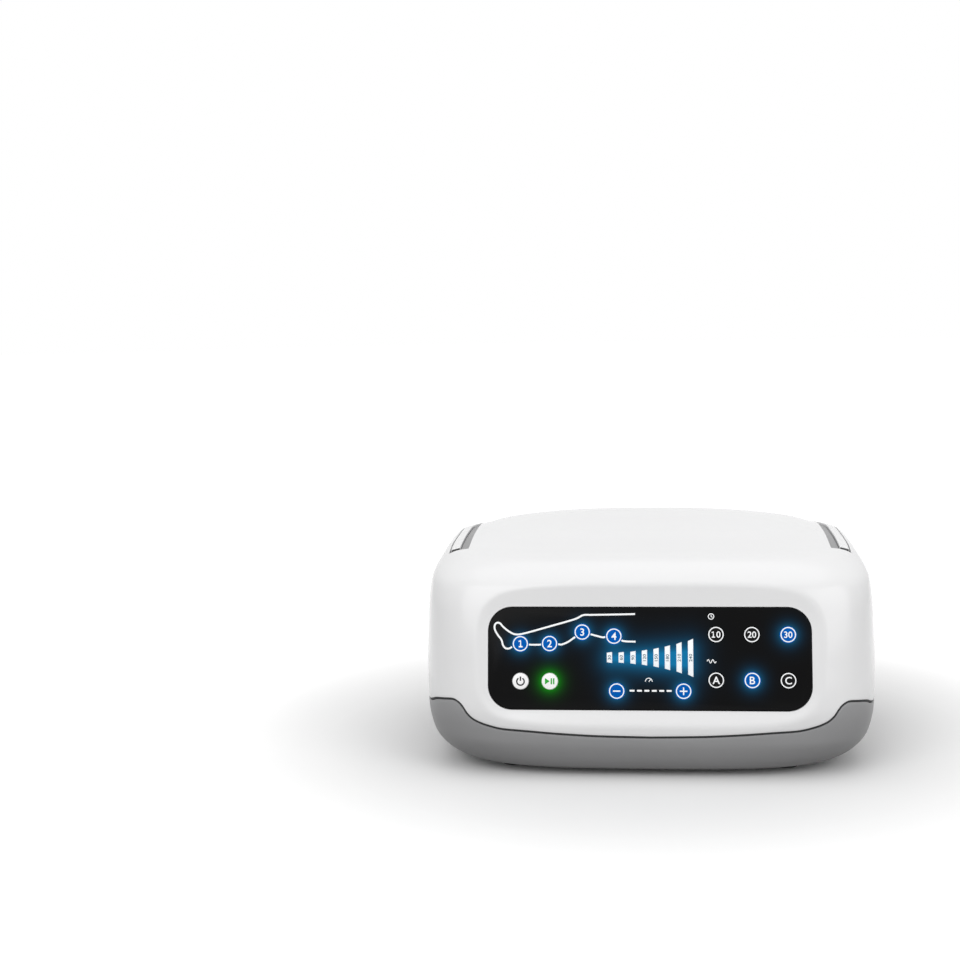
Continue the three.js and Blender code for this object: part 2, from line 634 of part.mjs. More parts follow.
function postPlaces() {
  const places = [];
  for (const x of [mainBoard.left + POST_EDGE, mainBoard.right - POST_EDGE]) {
    places.push([x, POST_EDGE - MAIN_BOARD_FRONT], [x, MAIN_BOARD_BACK - POST_EDGE]);
  }
  for (const x of [supply.left + POST_EDGE, supply.right - POST_EDGE]) {
    places.push([x, POST_EDGE - SUPPLY_HALF_LENGTH], [x, SUPPLY_HALF_LENGTH - POST_EDGE]);
  }
  return places;
}

function baseShell() {
  const shell = outerSkin.intersect(belowSeam(-SEAM_GAP / 2)).subtract(innerSkin);
  const rooted = FLOOR_Z - WELD;
  const columns = footPlaces.map(([, x, y]) => (
    rod('z', BOSS_RADIUS, [x, y], rooted, BOSS_TOP, ROUND_SEGMENTS / 2)));
  const posts = postPlaces().map((place) => (
    rod('z', POST_RADIUS, place, rooted, FLOOR_Z + POST_HEIGHT, POST_SEGMENTS)));
  const ribs = [-MANIFOLD_RIB_X, MANIFOLD_RIB_X].map((x) => box(
    [x - MANIFOLD_RIB / 2, manifoldY - MANIFOLD_HALF_WIDTH, rooted],
    [x + MANIFOLD_RIB / 2, manifoldY + MANIFOLD_HALF_WIDTH, manifoldBottom - FIT]));
  const cuts = [];
  for (const [, x, y] of footPlaces) {
    cuts.push(
      rod('z', FOOT_RADIUS + FIT, [x, y], -WELD, FOOT_LIFT + FOOT_SEAT_DEPTH),
      rod('z', SCREW_HEAD_RADIUS + FIT, [x, y], -WELD, FOOT_LIFT + SCREW_HEAD_SEAT),
      rod('z', SCREW_RADIUS + SCREW_HOLE_GAP, [x, y], -WELD, BOSS_TOP + WELD, POST_SEGMENTS));
  }
  cuts.push(backBlock(
    INLET_X, INLET_Z, INLET_WIDTH, INLET_HEIGHT, FIT, inletBackY - INLET_DEPTH - FIT,
    HALF_DEPTH + CUT_OVERRUN));
  for (let i = 0; i < VENT_COUNT; i += 1) {
    const x = VENT_PLACE_SHARE * HALF_WIDTH + (i - (VENT_COUNT - 1) / 2) * VENT_PITCH;
    cuts.push(box(
      [x - VENT_WIDTH / 2, HALF_DEPTH - CUT_OVERRUN / 2, VENT_LOW_Z],
      [x + VENT_WIDTH / 2, HALF_DEPTH + CUT_OVERRUN, VENT_HIGH_Z]));
  }
  return less(joined(shell, ...columns, ...posts, ...ribs), ...cuts);
}

function housingSeal() {
  const band = belowSeam(SEAL_THICKNESS / 2).subtract(belowSeam(-SEAL_THICKNESS / 2));
  return skin(SEAL_SETBACK).intersect(band).subtract(innerSkin);
}

// Handle, its channel liner and its two pins
function carryHandle() {
  const outer = handleOutline(handle.halfWidth, handle.back, handle.front, HANDLE_CORNER);
  const inner = handleOutline(
    handle.innerHalfWidth, handle.innerBack, handle.front - WELD, handle.innerCorner);
  const bail = less(
    raised(outer, handle.bottom, skyZ), raised(inner, handle.bottom - WELD, skyZ + WELD));
  const reach = handle.halfWidth + WELD;
  const axis = [handle.pivotY, handle.pivotZ];
  const corner = box(
    [-reach, handle.front - WELD, handle.bottom - WELD], [reach, handle.pivotY, handle.pivotZ]);
  const end = rod('x', PIVOT_END_RADIUS, axis, -reach - WELD, reach + WELD);
  return less(bail.intersect(outerSkin), less(corner, end), ...pivotHoles());
}

function handleTray() {
  const zone = channelZone(
    HANDLE_GAP, stripInward, handle.slotFront, trayBottom, skyZ);
  const channel = channelZone(
    HANDLE_GAP + WELD, HANDLE_GAP, handle.slotFront - WELD, trayTop, skyZ + WELD);
  const lowered = outerSkin.translate([0, 0, -TRAY_STRIP_DROP]);
  return less(zone.intersect(lowered), channel, ...pivotHoles());
}

// Panel plate with its key holes and bar windows, in the panel frame
const keyPlaces = KEY_PLACE_SHARES.map(([name, across, up]) => (
  { name, x: across * PANEL_HALF_W, y: up * PANEL_HALF_H }));

function barOutline([across, long], growth) {
  const x = across * PANEL_HALF_W;
  const halfWidth = BAR_WIDTH / 2 + growth;
  const half = (long * PANEL_HEIGHT) / 2 + growth;
  const taper = BAR_TAPER_SHARE * long * PANEL_HEIGHT;
  return new THREE.Shape([
    new THREE.Vector2(x - halfWidth, BAR_LIFT - half + taper),
    new THREE.Vector2(x + halfWidth, BAR_LIFT - half - taper),
    new THREE.Vector2(x + halfWidth, BAR_LIFT + half + taper),
    new THREE.Vector2(x - halfWidth, BAR_LIFT + half - taper),
  ]);
}

function controlPanel() {
  const outline = roundedRectangle(PANEL_HALF_W, PANEL_HALF_H, PANEL_CORNER);
  const holes = keyPlaces.map(({ x, y }) => rod(
    'z', KEY_RADIUS + KEY_HOLE_GAP, [x, y], -PANEL_THICKNESS - WELD, WELD, KEY_SEGMENTS));
  const windows = BAR_SHARES.map((bar) => (
    raised(barOutline(bar, BAR_GAP), -PANEL_THICKNESS - WELD, WELD)));
  return less(raised(outline, -PANEL_THICKNESS, 0), ...holes, ...windows);
}

function lightGuide() {
  const front = -PANEL_THICKNESS - FIT;
  const [first, last] = [BAR_SHARES[0], BAR_SHARES.at(-1)];
  const left = first[0] * PANEL_HALF_W - BAR_WIDTH / 2 - GUIDE_MARGIN;
  const right = last[0] * PANEL_HALF_W + BAR_WIDTH / 2 + GUIDE_MARGIN;
  const lowHalf = first[1] * PANEL_HALF_H + GUIDE_MARGIN;
  const highHalf = (last[1] + BAR_TAPER_SHARE) * PANEL_HALF_H + GUIDE_MARGIN;
  const plate = new THREE.Shape([
    new THREE.Vector2(left, BAR_LIFT - lowHalf), new THREE.Vector2(right, BAR_LIFT - highHalf),
    new THREE.Vector2(right, BAR_LIFT + highHalf), new THREE.Vector2(left, BAR_LIFT + lowHalf),
  ]);
  const bars = BAR_SHARES.map((bar) => raised(barOutline(bar, 0), front - WELD, -GUIDE_SETBACK));
  return joined(raised(plate, front - GUIDE_PLATE, front), ...bars);
}

function keyCap() {
  const back = -PANEL_THICKNESS - FIT;
  return turned([
    [0, back - KEY_FLANGE_THICKNESS],
    [KEY_RADIUS + KEY_FLANGE, back - KEY_FLANGE_THICKNESS],
    [KEY_RADIUS + KEY_FLANGE, back],
    [KEY_RADIUS, back],
    [KEY_RADIUS, KEY_PROUD],
    [0, KEY_PROUD],
  ], [0, 0, 0], KEY_SEGMENTS);
}

const matFront = BED_BACK + MAT_THICKNESS;
const boardFront = BED_BACK - FIT;
const receiver = {
  x: RECEIVER_PLACE_SHARES[0] * PANEL_HALF_W,
  y: RECEIVER_PLACE_SHARES[1] * PANEL_HALF_H,
};

function receiverBlock(growth, low, high) {
  return box(
    [receiver.x - RECEIVER_WIDTH / 2 - growth, receiver.y - RECEIVER_HEIGHT / 2 - growth, low],
    [receiver.x + RECEIVER_WIDTH / 2 + growth, receiver.y + RECEIVER_HEIGHT / 2 + growth, high]);
}

function keyMat() {
  const edge = PANEL_LIP + MAT_EDGE_GAP;
  const outline = roundedRectangle(PANEL_HALF_W - edge, PANEL_HALF_H - edge, PANEL_CORNER - edge);
  const sheet = raised(outline, BED_BACK, matFront);
  return less(sheet, receiverBlock(RECEIVER_GAP, BED_BACK - WELD, matFront + WELD));
}

function displayBoard() {
  const edge = PANEL_LIP - DISPLAY_BOARD_OVERLAP;
  const outline = roundedRectangle(PANEL_HALF_W - edge, PANEL_HALF_H - edge, PANEL_CORNER - edge);
  return raised(outline, boardFront - BOARD_THICKNESS, boardFront);
}

function irReceiver() {
  return receiverBlock(0, boardFront + FIT, boardFront + FIT + RECEIVER_DEPTH);
}

// Feet and screws
function foot(x, y) {
  const top = FOOT_LIFT + FOOT_SEAT_DEPTH - FIT;
  return turned([
    [FOOT_BORE_RADIUS, 0], [FOOT_RADIUS - FOOT_EDGE, 0], [FOOT_RADIUS, FOOT_EDGE],
    [FOOT_RADIUS, top], [FOOT_BORE_RADIUS, top], [FOOT_BORE_RADIUS, 0],
  ], [x, y, 0]);
}

function caseScrew(x, y) {
  const seat = FOOT_LIFT + SCREW_HEAD_SEAT - FIT;
  return turned([
    [0, seat - SCREW_HEAD_HEIGHT], [SCREW_HEAD_RADIUS, seat - SCREW_HEAD_HEIGHT],
    [SCREW_HEAD_RADIUS, seat], [SCREW_RADIUS, seat],
    [SCREW_RADIUS, BOSS_TOP + SCREW_BITE], [0, BOSS_TOP + SCREW_BITE],
  ], [x, y, 0], POST_SEGMENTS);
}

// Back fittings: a pocket open to the back with spigots or pins standing in it
function airOutlet(x) {
  const front = outletBackY - OUTLET_DEPTH;
  const pocketFloor = outletBackY - OUTLET_POCKET_DEPTH;
  const block = backBlock(x, OUTLET_Z, OUTLET_WIDTH, OUTLET_HEIGHT, 0, front, outletBackY);
  const pocket = backBlock(
    x, OUTLET_Z, OUTLET_WIDTH, OUTLET_HEIGHT, -OUTLET_WALL, pocketFloor, outletBackY + WELD);
  const spigots = [];
  for (let i = 0; i < SPIGOT_COUNT; i += 1) {
    const place = [x + (i - (SPIGOT_COUNT - 1) / 2) * SPIGOT_SPACING, OUTLET_Z];
    spigots.push(rod(
      'y', SPIGOT_RADIUS, place, pocketFloor - WELD, pocketFloor + SPIGOT_LENGTH,
      SPIGOT_SEGMENTS));
  }
  return joined(less(block, pocket), ...spigots);
}

function mainsInlet() {
  const front = inletBackY - INLET_DEPTH;
  const pocketFloor = inletBackY - INLET_POCKET_DEPTH;
  const block = backBlock(INLET_X, INLET_Z, INLET_WIDTH, INLET_HEIGHT, 0, front, inletBackY);
  const pocket = backBlock(
    INLET_X, INLET_Z, INLET_WIDTH, INLET_HEIGHT, -INLET_WALL, pocketFloor, inletBackY + WELD);
  const pins = [-1, 1].map((side) => rod(
    'y', INLET_PIN_RADIUS, [INLET_X + side * INLET_PIN_SPACING / 2, INLET_Z],
    pocketFloor - WELD, pocketFloor + INLET_PIN_LENGTH, SPIGOT_SEGMENTS));
  return joined(less(block, pocket), ...pins);
}

// Compressor
const bracketBottom = FLOOR_Z + FIT + ISOLATOR_HEIGHT + FIT;
const bracketTop = bracketBottom + BRACKET_THICKNESS;
const motorZ = bracketBottom + MOTOR_LIFT;
const motorAxis = [MOTOR_Y, motorZ];
const canFront = BRACKET_FACE_X - FIT;
const canBack = canFront - MOTOR_LENGTH_SHARE * HALF_WIDTH;
const caseBack = BRACKET_FACE_X + BRACKET_FLANGE_THICKNESS + FIT;
const headX = caseBack + CASE_LENGTH / 2;

function compressorBracket() {
  const flangeHalfWidth = FLANGE_HALF_WIDTH_SHARE * HALF_DEPTH;
  const plate = box(
    [BRACKET_FACE_X - BRACKET_BEHIND, MOTOR_Y - BRACKET_HALF_WIDTH, bracketBottom],
    [BRACKET_FACE_X + BRACKET_AHEAD, MOTOR_Y + BRACKET_HALF_WIDTH, bracketTop]);
  const flange = box(
    [BRACKET_FACE_X, MOTOR_Y - flangeHalfWidth, bracketTop - WELD],
    [BRACKET_FACE_X + BRACKET_FLANGE_THICKNESS, MOTOR_Y + flangeHalfWidth,
      motorZ + FLANGE_OVER_AXIS]);
  const hole = rod(
    'x', SHAFT_RADIUS + SHAFT_GAP, motorAxis, BRACKET_FACE_X - WELD, caseBack + WELD,
    POST_SEGMENTS);
  return less(joined(plate, flange), hole);
}

function motorCan() {
  const body = rod('x', MOTOR_RADIUS, motorAxis, canBack, canFront);
  const bore = rod(
    'x', MOTOR_RADIUS - MOTOR_WALL, motorAxis, canBack + MOTOR_WALL, canFront + WELD);
  const hole = rod(
    'x', SHAFT_RADIUS + SHAFT_GAP, motorAxis, canBack - WELD, canFront, POST_SEGMENTS);
  return less(body, bore, hole);
}

function motorRotor() {
  const coreStart = canBack + MOTOR_WALL + ROTOR_END_GAP;
  const coreEnd = coreStart + ROTOR_LENGTH_SHARE * HALF_WIDTH;
  const core = rod('x', ROTOR_RADIUS, motorAxis, coreStart, coreEnd);
  const shaft = rod(
    'x', SHAFT_RADIUS, motorAxis, canBack - SHAFT_TAIL, caseBack + SHAFT_NOSE, POST_SEGMENTS);
  const crank = rod(
    'x', CRANK_RADIUS, [MOTOR_Y + CRANK_OFFSET, motorZ], caseBack + CRANK_START,
    caseBack + CRANK_START + CRANK_LENGTH, KEY_SEGMENTS);
  return joined(core, shaft, crank);
}

function compressorBody() {
  const block = box(
    [caseBack, MOTOR_Y - CASE_HALF_WIDTH, bracketTop + FIT],
    [caseBack + CASE_LENGTH, MOTOR_Y + CASE_HALF_WIDTH, motorZ + CASE_OVER_AXIS]);
  const bore = rod(
    'x', CASE_BORE_RADIUS, motorAxis, caseBack - WELD, caseBack + CASE_BORE_DEPTH);
  return less(block, bore);
}

const headGap = CASE_HALF_WIDTH + FIT;
const nippleTop = motorZ + HEAD_RADIUS + NIPPLE_LENGTH;

function pumpHead(side) {
  const faces = [headGap, headGap + HEAD_THICKNESS].map((reach) => MOTOR_Y + side * reach);
  const disc = rod('y', HEAD_RADIUS, [headX, motorZ], Math.min(...faces), Math.max(...faces));
  const nipple = rod(
    'z', NIPPLE_RADIUS, [headX, (faces[0] + faces[1]) / 2], motorZ, nippleTop, SPIGOT_SEGMENTS);
  return joined(disc, nipple);
}

function isolatorPlaces() {
  const back = BRACKET_FACE_X - BRACKET_BEHIND + ISOLATOR_EDGE;
  const ahead = BRACKET_FACE_X + BRACKET_AHEAD - ISOLATOR_EDGE;
  const side = BRACKET_HALF_WIDTH - ISOLATOR_EDGE;
  return [
    ['1', back, MOTOR_Y - side], ['2', ahead, MOTOR_Y - side],
    ['3', back, MOTOR_Y + side], ['4', ahead, MOTOR_Y + side],
  ];
}

function isolator(x, y) {
  const bottom = FLOOR_Z + FIT;
  return turned([
    [0, 0], [ISOLATOR_RADIUS, 0], [ISOLATOR_WAIST, ISOLATOR_HEIGHT / 2],
    [ISOLATOR_RADIUS, ISOLATOR_HEIGHT], [0, ISOLATOR_HEIGHT],
  ], [x, y, bottom], POST_SEGMENTS);
}

// Valves and hoses
function valveManifold() {
  const block = box(
    [-MANIFOLD_HALF_LENGTH, manifoldY - MANIFOLD_HALF_WIDTH, manifoldBottom],
    [MANIFOLD_HALF_LENGTH, manifoldY + MANIFOLD_HALF_WIDTH, manifoldTop]);
  const nipples = [-MANIFOLD_INLET_X, MANIFOLD_INLET_X].map((x) => rod(
    'z', NIPPLE_RADIUS, [x, manifoldY], manifoldTop - WELD, manifoldTop + NIPPLE_LENGTH,
    SPIGOT_SEGMENTS));
  return joined(block, ...nipples);
}

const valveTop = manifoldTop + FIT + VALVE_HEIGHT + VALVE_CAP_HEIGHT;

function solenoidValve(x) {
  const coilTop = valveTop - VALVE_CAP_HEIGHT;
  const coil = box(
    [x - VALVE_HALF_WIDTH, manifoldY - VALVE_HALF_DEPTH, manifoldTop + FIT],
    [x + VALVE_HALF_WIDTH, manifoldY + VALVE_HALF_DEPTH, coilTop]);
  const cap = rod('z', VALVE_CAP_RADIUS, [x, manifoldY], coilTop - WELD, valveTop, POST_SEGMENTS);
  return joined(coil, cap);
}

function tubeAlong(shape, points, steps) {
  const path = new THREE.CatmullRomCurve3(points.map((point) => new THREE.Vector3(...point)));
  const options = { steps, bevelEnabled: false, extrudePath: path };
  return solid(new THREE.ExtrudeGeometry(shape, options));
}

function hoseSection() {
  const points = [];
  for (let i = 0; i < HOSE_SIDES; i += 1) {
    const turn = 2 * Math.PI * i / HOSE_SIDES;
    points.push(new THREE.Vector2(HOSE_RADIUS * Math.cos(turn), HOSE_RADIUS * Math.sin(turn)));
  }
  return new THREE.Shape(points);
}

// Each hose climbs out of a pump head, crosses over and drops on to the valve block
function supplyHose(side, middleShares) {
  const start = [headX, MOTOR_Y + side * (headGap + HEAD_THICKNESS / 2), nippleTop + FIT];
  const end = [side * MANIFOLD_INLET_X, manifoldY, manifoldTop + NIPPLE_LENGTH + FIT];
  const middle = middleShares.map(([across, along, rise]) => [
    THREE.MathUtils.lerp(start[0], end[0], across),
    THREE.MathUtils.lerp(start[1], end[1], along),
    nippleTop + rise * HOSE_RISE,
  ]);
  const points = [
    start, [start[0], start[1], start[2] + HOSE_LEAD], ...middle,
    [end[0], end[1], end[2] + HOSE_LEAD], end,
  ];
  return tubeAlong(hoseSection(), points, HOSE_STEPS);
}

function outletHose(side) {
  const x = side * OUTLET_X;
  const end = outletBackY - OUTLET_DEPTH - FIT;
  const start = valveTop + FIT;
  const lead = RIBBON_HALF_THICKNESS;
  const section = new THREE.Shape([
    new THREE.Vector2(-RIBBON_HALF_WIDTH, -RIBBON_HALF_THICKNESS),
    new THREE.Vector2(RIBBON_HALF_WIDTH, -RIBBON_HALF_THICKNESS),
    new THREE.Vector2(RIBBON_HALF_WIDTH, RIBBON_HALF_THICKNESS),
    new THREE.Vector2(-RIBBON_HALF_WIDTH, RIBBON_HALF_THICKNESS),
  ]);
  const points = [
    [x, manifoldY, start], [x, manifoldY, start + lead],
    [x, (manifoldY + end) / 2 - lead, (start + OUTLET_Z) / 2 + lead],
    [x, end - lead, OUTLET_Z], [x, end, OUTLET_Z],
  ];
  return tubeAlong(section, points, RIBBON_STEPS);
}

// Boards
function mainBoardSolid() {
  const top = mainBoard.bottom + BOARD_THICKNESS;
  const plate = box(
    [mainBoard.left, -MAIN_BOARD_FRONT, mainBoard.bottom],
    [mainBoard.right, MAIN_BOARD_BACK, top]);
  const middle = (mainBoard.left + mainBoard.right) / 2;
  const connector = box(
    [middle - 2 * SENSOR_SIZE, -MAIN_BOARD_FRONT + POST_EDGE, top - FIT],
    [middle + 2 * SENSOR_SIZE, -MAIN_BOARD_FRONT + 2 * POST_EDGE, top + COMPONENT_HEIGHT]);
  const processor = box(
    [middle - SENSOR_SIZE, -SENSOR_SIZE, top - FIT],
    [middle + SENSOR_SIZE, SENSOR_SIZE, top + BOARD_THICKNESS]);
  const capacitor = rod(
    'z', CAPACITOR_RADIUS, [mainBoard.right - 2 * POST_EDGE, 0], top - FIT,
    top + CAPACITOR_HEIGHT, POST_SEGMENTS);
  return joined(plate, connector, processor, capacitor);
}

function pressureSensor() {
  const bottom = mainBoard.bottom + BOARD_THICKNESS + FIT;
  const [x, y] = [(mainBoard.left + mainBoard.right) / 2, MAIN_BOARD_BACK - 2 * POST_EDGE];
  const body = box(
    [x - SENSOR_SIZE / 2, y - SENSOR_SIZE / 2, bottom],
    [x + SENSOR_SIZE / 2, y + SENSOR_SIZE / 2, bottom + SENSOR_HEIGHT]);
  const top = bottom + SENSOR_HEIGHT;
  return joined(body, rod('z', NIPPLE_RADIUS, [x, y], top - WELD, top + SENSOR_HEIGHT,
    SPIGOT_SEGMENTS));
}

function powerSupply() {
  const flange = box(
    [supply.left, -SUPPLY_HALF_LENGTH, supply.bottom],
    [supply.right, SUPPLY_HALF_LENGTH, supply.bottom + SUPPLY_FLANGE]);
  const can = box(
    [supply.left + SUPPLY_STEP / 2, SUPPLY_STEP - SUPPLY_HALF_LENGTH, supply.bottom],
    [supply.right - SUPPLY_STEP / 2, SUPPLY_HALF_LENGTH - SUPPLY_STEP,
      supply.bottom + SUPPLY_HEIGHT]);
  return joined(flange, can);
}

// Finishes
const finishes = {
  whiteGloss: { color: 0xeceded, roughness: 0.22, metalness: 0 },
  graySatin: { color: 0x8b8c8e, roughness: 0.42, metalness: 0 },
  stripGray: { color: 0xa3a5a7, roughness: 0.45, metalness: 0 },
  blackGloss: { color: 0x1b1c1e, roughness: 0.12, metalness: 0 },
  blackRubber: { color: 0x141414, roughness: 0.8, metalness: 0 },
  keyBlue: { color: 0x0a5fc8, roughness: 0.3, metalness: 0 },
  keyBlack: { color: 0x202124, roughness: 0.3, metalness: 0 },
  keyWhite: { color: 0xf4f5f5, roughness: 0.3, metalness: 0 },
  guideClear: { color: 0xf2fbff, roughness: 0.25, metalness: 0 },
  matGray: { color: 0x5a5c60, roughness: 0.7, metalness: 0 },
  boardGreen: { color: 0x1e5a34, roughness: 0.5, metalness: 0 },
  steel: { color: 0xb4b6b8, roughness: 0.35, metalness: 1 },
  aluminium: { color: 0xc3c6c9, roughness: 0.4, metalness: 1 },
  brass: { color: 0xb8954a, roughness: 0.35, metalness: 1 },
  blackPlastic: { color: 0x2a2b2d, roughness: 0.55, metalness: 0 },
  clearHose: { color: 0xcfd6da, roughness: 0.35, metalness: 0 },
};

const pump = new THREE.Group();
pump.add(panelFrame);

// Adds one named piece with its finish to a group
function addPiece(name, body, finish, parent = pump) {
  const material = new THREE.MeshStandardMaterial(finishes[finish]);
  const piece = new THREE.Mesh(geometryOf(body), material);
  piece.name = name;
  parent.add(piece);
  return piece;
}

// Housing
addPiece('top_cover', topCover(), 'whiteGloss');
addPiece('base_shell', baseShell(), 'graySatin');
addPiece('housing_seal', housingSeal(), 'blackRubber');
addPiece('carry_handle', carryHandle(), 'whiteGloss');
addPiece('handle_tray', handleTray(), 'stripGray');
addPiece('handle_pin_left', pivotRod(-1, PIVOT_PIN_RADIUS, PIVOT_PIN_END_GAP), 'steel');
addPiece('handle_pin_right', pivotRod(1, PIVOT_PIN_RADIUS, PIVOT_PIN_END_GAP), 'steel');
for (const [place, x, y] of footPlaces) {
  addPiece(`foot_${place}`, foot(x, y), 'blackRubber');
  addPiece(`case_screw_${place}`, caseScrew(x, y), 'steel');
}

// Control panel
addPiece('control_panel', controlPanel(), 'blackGloss', panelFrame);
addPiece('pressure_light_guide', lightGuide(), 'guideClear', panelFrame);
addPiece('key_mat', keyMat(), 'matGray', panelFrame);
addPiece('display_board', displayBoard(), 'boardGreen', panelFrame);
addPiece('ir_receiver', irReceiver(), 'blackPlastic', panelFrame);
const unlitKeys = ['key_time_10', 'key_time_20', 'key_mode_a', 'key_mode_c'];
const whiteKeys = ['key_power', 'key_play_pause'];
for (const { name, x, y } of keyPlaces) {
  const finish = unlitKeys.includes(name) ? 'keyBlack' : 'keyBlue';
  const key = addPiece(name, keyCap(), whiteKeys.includes(name) ? 'keyWhite' : finish, panelFrame);
  key.position.set(x, y, 0);
}

// Back fittings
addPiece('air_outlet_left', airOutlet(-OUTLET_X), 'blackPlastic');
addPiece('air_outlet_right', airOutlet(OUTLET_X), 'blackPlastic');
addPiece('mains_inlet', mainsInlet(), 'blackPlastic');

// Compressor
addPiece('compressor_bracket', compressorBracket(), 'steel');
addPiece('motor_can', motorCan(), 'steel');
addPiece('motor_rotor', motorRotor(), 'steel');
addPiece('compressor_body', compressorBody(), 'aluminium');
addPiece('pump_head_front', pumpHead(-1), 'aluminium');
addPiece('pump_head_rear', pumpHead(1), 'aluminium');
for (const [number, x, y] of isolatorPlaces()) {
  addPiece(`rubber_isolator_${number}`, isolator(x, y), 'blackRubber');
}

// Valves and hoses
addPiece('valve_manifold', valveManifold(), 'blackPlastic');
[-VALVE_OUTER_X, -VALVE_INNER_X, VALVE_INNER_X, VALVE_OUTER_X].forEach((x, i) => {
  addPiece(`solenoid_valve_${i + 1}`, solenoidValve(x), 'brass');
});
addPiece('supply_hose_front', supplyHose(-1, FRONT_HOSE_SHARES), 'clearHose');
addPiece('supply_hose_rear', supplyHose(1, REAR_HOSE_SHARES), 'clearHose');
addPiece('outlet_hose_left', outletHose(-1), 'clearHose');
addPiece('outlet_hose_right', outletHose(1), 'clearHose');

// Boards
addPiece('main_board', mainBoardSolid(), 'boardGreen');
addPiece('pressure_sensor', pressureSensor(), 'blackPlastic');
addPiece('power_supply', powerSupply(), 'aluminium');

export default pump;
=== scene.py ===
"""Looks of a compression therapy pump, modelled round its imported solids.

Sizes stand in millimetres in the dataclasses and become metres when a mesh is made. X runs across
the pump, Y from its front to its back and Z up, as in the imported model.
"""

import json
import logging
import math
from collections.abc import Callable, Iterable, Iterator, Sequence
from contextlib import contextmanager
from dataclasses import dataclass
from enum import Enum
from functools import cached_property

import bmesh
import bpy
import numpy as np
from bpy.types import Material, Node, NodeSocket, NodeTree, Object
from mathutils import Matrix, Vector


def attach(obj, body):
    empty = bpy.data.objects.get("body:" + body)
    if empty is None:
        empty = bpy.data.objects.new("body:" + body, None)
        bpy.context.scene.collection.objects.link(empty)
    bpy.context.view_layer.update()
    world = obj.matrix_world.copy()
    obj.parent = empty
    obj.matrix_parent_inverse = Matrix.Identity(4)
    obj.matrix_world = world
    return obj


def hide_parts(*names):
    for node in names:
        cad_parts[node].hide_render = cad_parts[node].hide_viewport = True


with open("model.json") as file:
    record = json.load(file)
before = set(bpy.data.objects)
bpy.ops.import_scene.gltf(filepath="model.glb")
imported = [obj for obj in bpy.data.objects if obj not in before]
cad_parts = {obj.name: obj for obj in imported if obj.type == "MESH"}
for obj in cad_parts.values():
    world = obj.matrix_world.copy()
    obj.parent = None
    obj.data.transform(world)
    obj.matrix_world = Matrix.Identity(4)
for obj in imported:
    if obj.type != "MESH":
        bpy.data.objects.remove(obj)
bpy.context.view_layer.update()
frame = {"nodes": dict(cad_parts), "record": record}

MM = 0.001
NEAR = 1e-3  # two places this close, in millimetres, are one
SHARP = math.radians(32.0)  # edges that turn more than this stay sharp
BEND = 0.25  # greatest turn between two points of a rounded corner, in radians
CUT = 1.0  # how far cutters and rooted pieces reach past a face, in millimetres
log = logging.getLogger("pump")

Point2 = tuple[float, float]
Point3 = tuple[float, float, float]


# Curves and outlines


def smooth_between(knots: np.ndarray, values: np.ndarray, places: np.ndarray) -> np.ndarray:
    """Runs a curve through points without overshooting them.

    Args:
        knots: Rising places of the points.
        values: Values at those places.
        places: Places at which the curve is read.

    Returns:
        The curve's values at the places.
    """
    step = np.diff(knots)
    slope = np.diff(values) / step
    tangent = np.zeros_like(values)
    same_way = slope[:-1] * slope[1:] > 0
    both = np.where(same_way, slope[:-1] + slope[1:], 1.0)
    tangent[1:-1] = np.where(same_way, 2 * slope[:-1] * slope[1:] / both, 0.0)
    tangent[0], tangent[-1] = slope[0], slope[-1]
    cell = np.clip(np.searchsorted(knots, places) - 1, 0, len(step) - 1)
    t = np.clip((places - knots[cell]) / step[cell], 0.0, 1.0)
    start = values[cell] * (2 * t**3 - 3 * t**2 + 1) + step[cell] * tangent[cell] * (t**3 - 2 * t**2 + t)
    end = values[cell + 1] * (3 * t**2 - 2 * t**3) + step[cell] * tangent[cell + 1] * (t**3 - t**2)
    return start + end


def filleted(corners: Sequence[tuple[float, float, float]], spacing: float) -> np.ndarray:
    """Rounds the corners of a closed outline and spaces its points evenly.

    Args:
        corners: (x, y, radius) of each corner, anticlockwise.
        spacing: Greatest distance between two points along a straight run.

    Returns:
        The outline's points, one row each.
    """
    points: list[np.ndarray] = []
    count = len(corners)
    for i, (x, y, radius) in enumerate(corners):
        here = np.array([x, y])
        before = np.array(corners[i - 1][:2]) - here
        after = np.array(corners[(i + 1) % count][:2]) - here
        before, after = before / np.linalg.norm(before), after / np.linalg.norm(after)
        half = math.acos(float(np.clip(before @ after, -1, 1))) / 2
        middle = (before + after) / np.linalg.norm(before + after)
        centre = here + middle * radius / math.sin(half)
        first = here + before * radius / math.tan(half) - centre
        last = here + after * radius / math.tan(half) - centre
        sweep = math.atan2(first[0] * last[1] - first[1] * last[0], float(first @ last))
        steps = max(2, math.ceil(abs(sweep) * max(radius, 1.0) / spacing), math.ceil(abs(sweep) / BEND))
        for k in range(steps + 1):
            cos, sin = math.cos(sweep * k / steps), math.sin(sweep * k / steps)
            turned = first[0] * cos - first[1] * sin, first[0] * sin + first[1] * cos
            points.append(centre + np.array(turned))
    spaced: list[np.ndarray] = []
    for here, after in zip(points, points[1:] + points[:1]):
        parts = max(1, math.ceil(float(np.linalg.norm(after - here)) / spacing))
        spaced += [here + (after - here) * k / parts for k in range(parts)]
    return np.array(spaced)


def outward(outline: np.ndarray) -> np.ndarray:
    """Unit directions that point out of a closed anticlockwise outline, one per point.

    Args:
        outline: Points (x, y) of the outline.

    Returns:
        One direction per point.
    """
    along = np.roll(outline, -1, axis=0) - np.roll(outline, 1, axis=0)
    across = np.stack([along[:, 1], -along[:, 0]], axis=1)
    return across / np.linalg.norm(across, axis=1, keepdims=True)


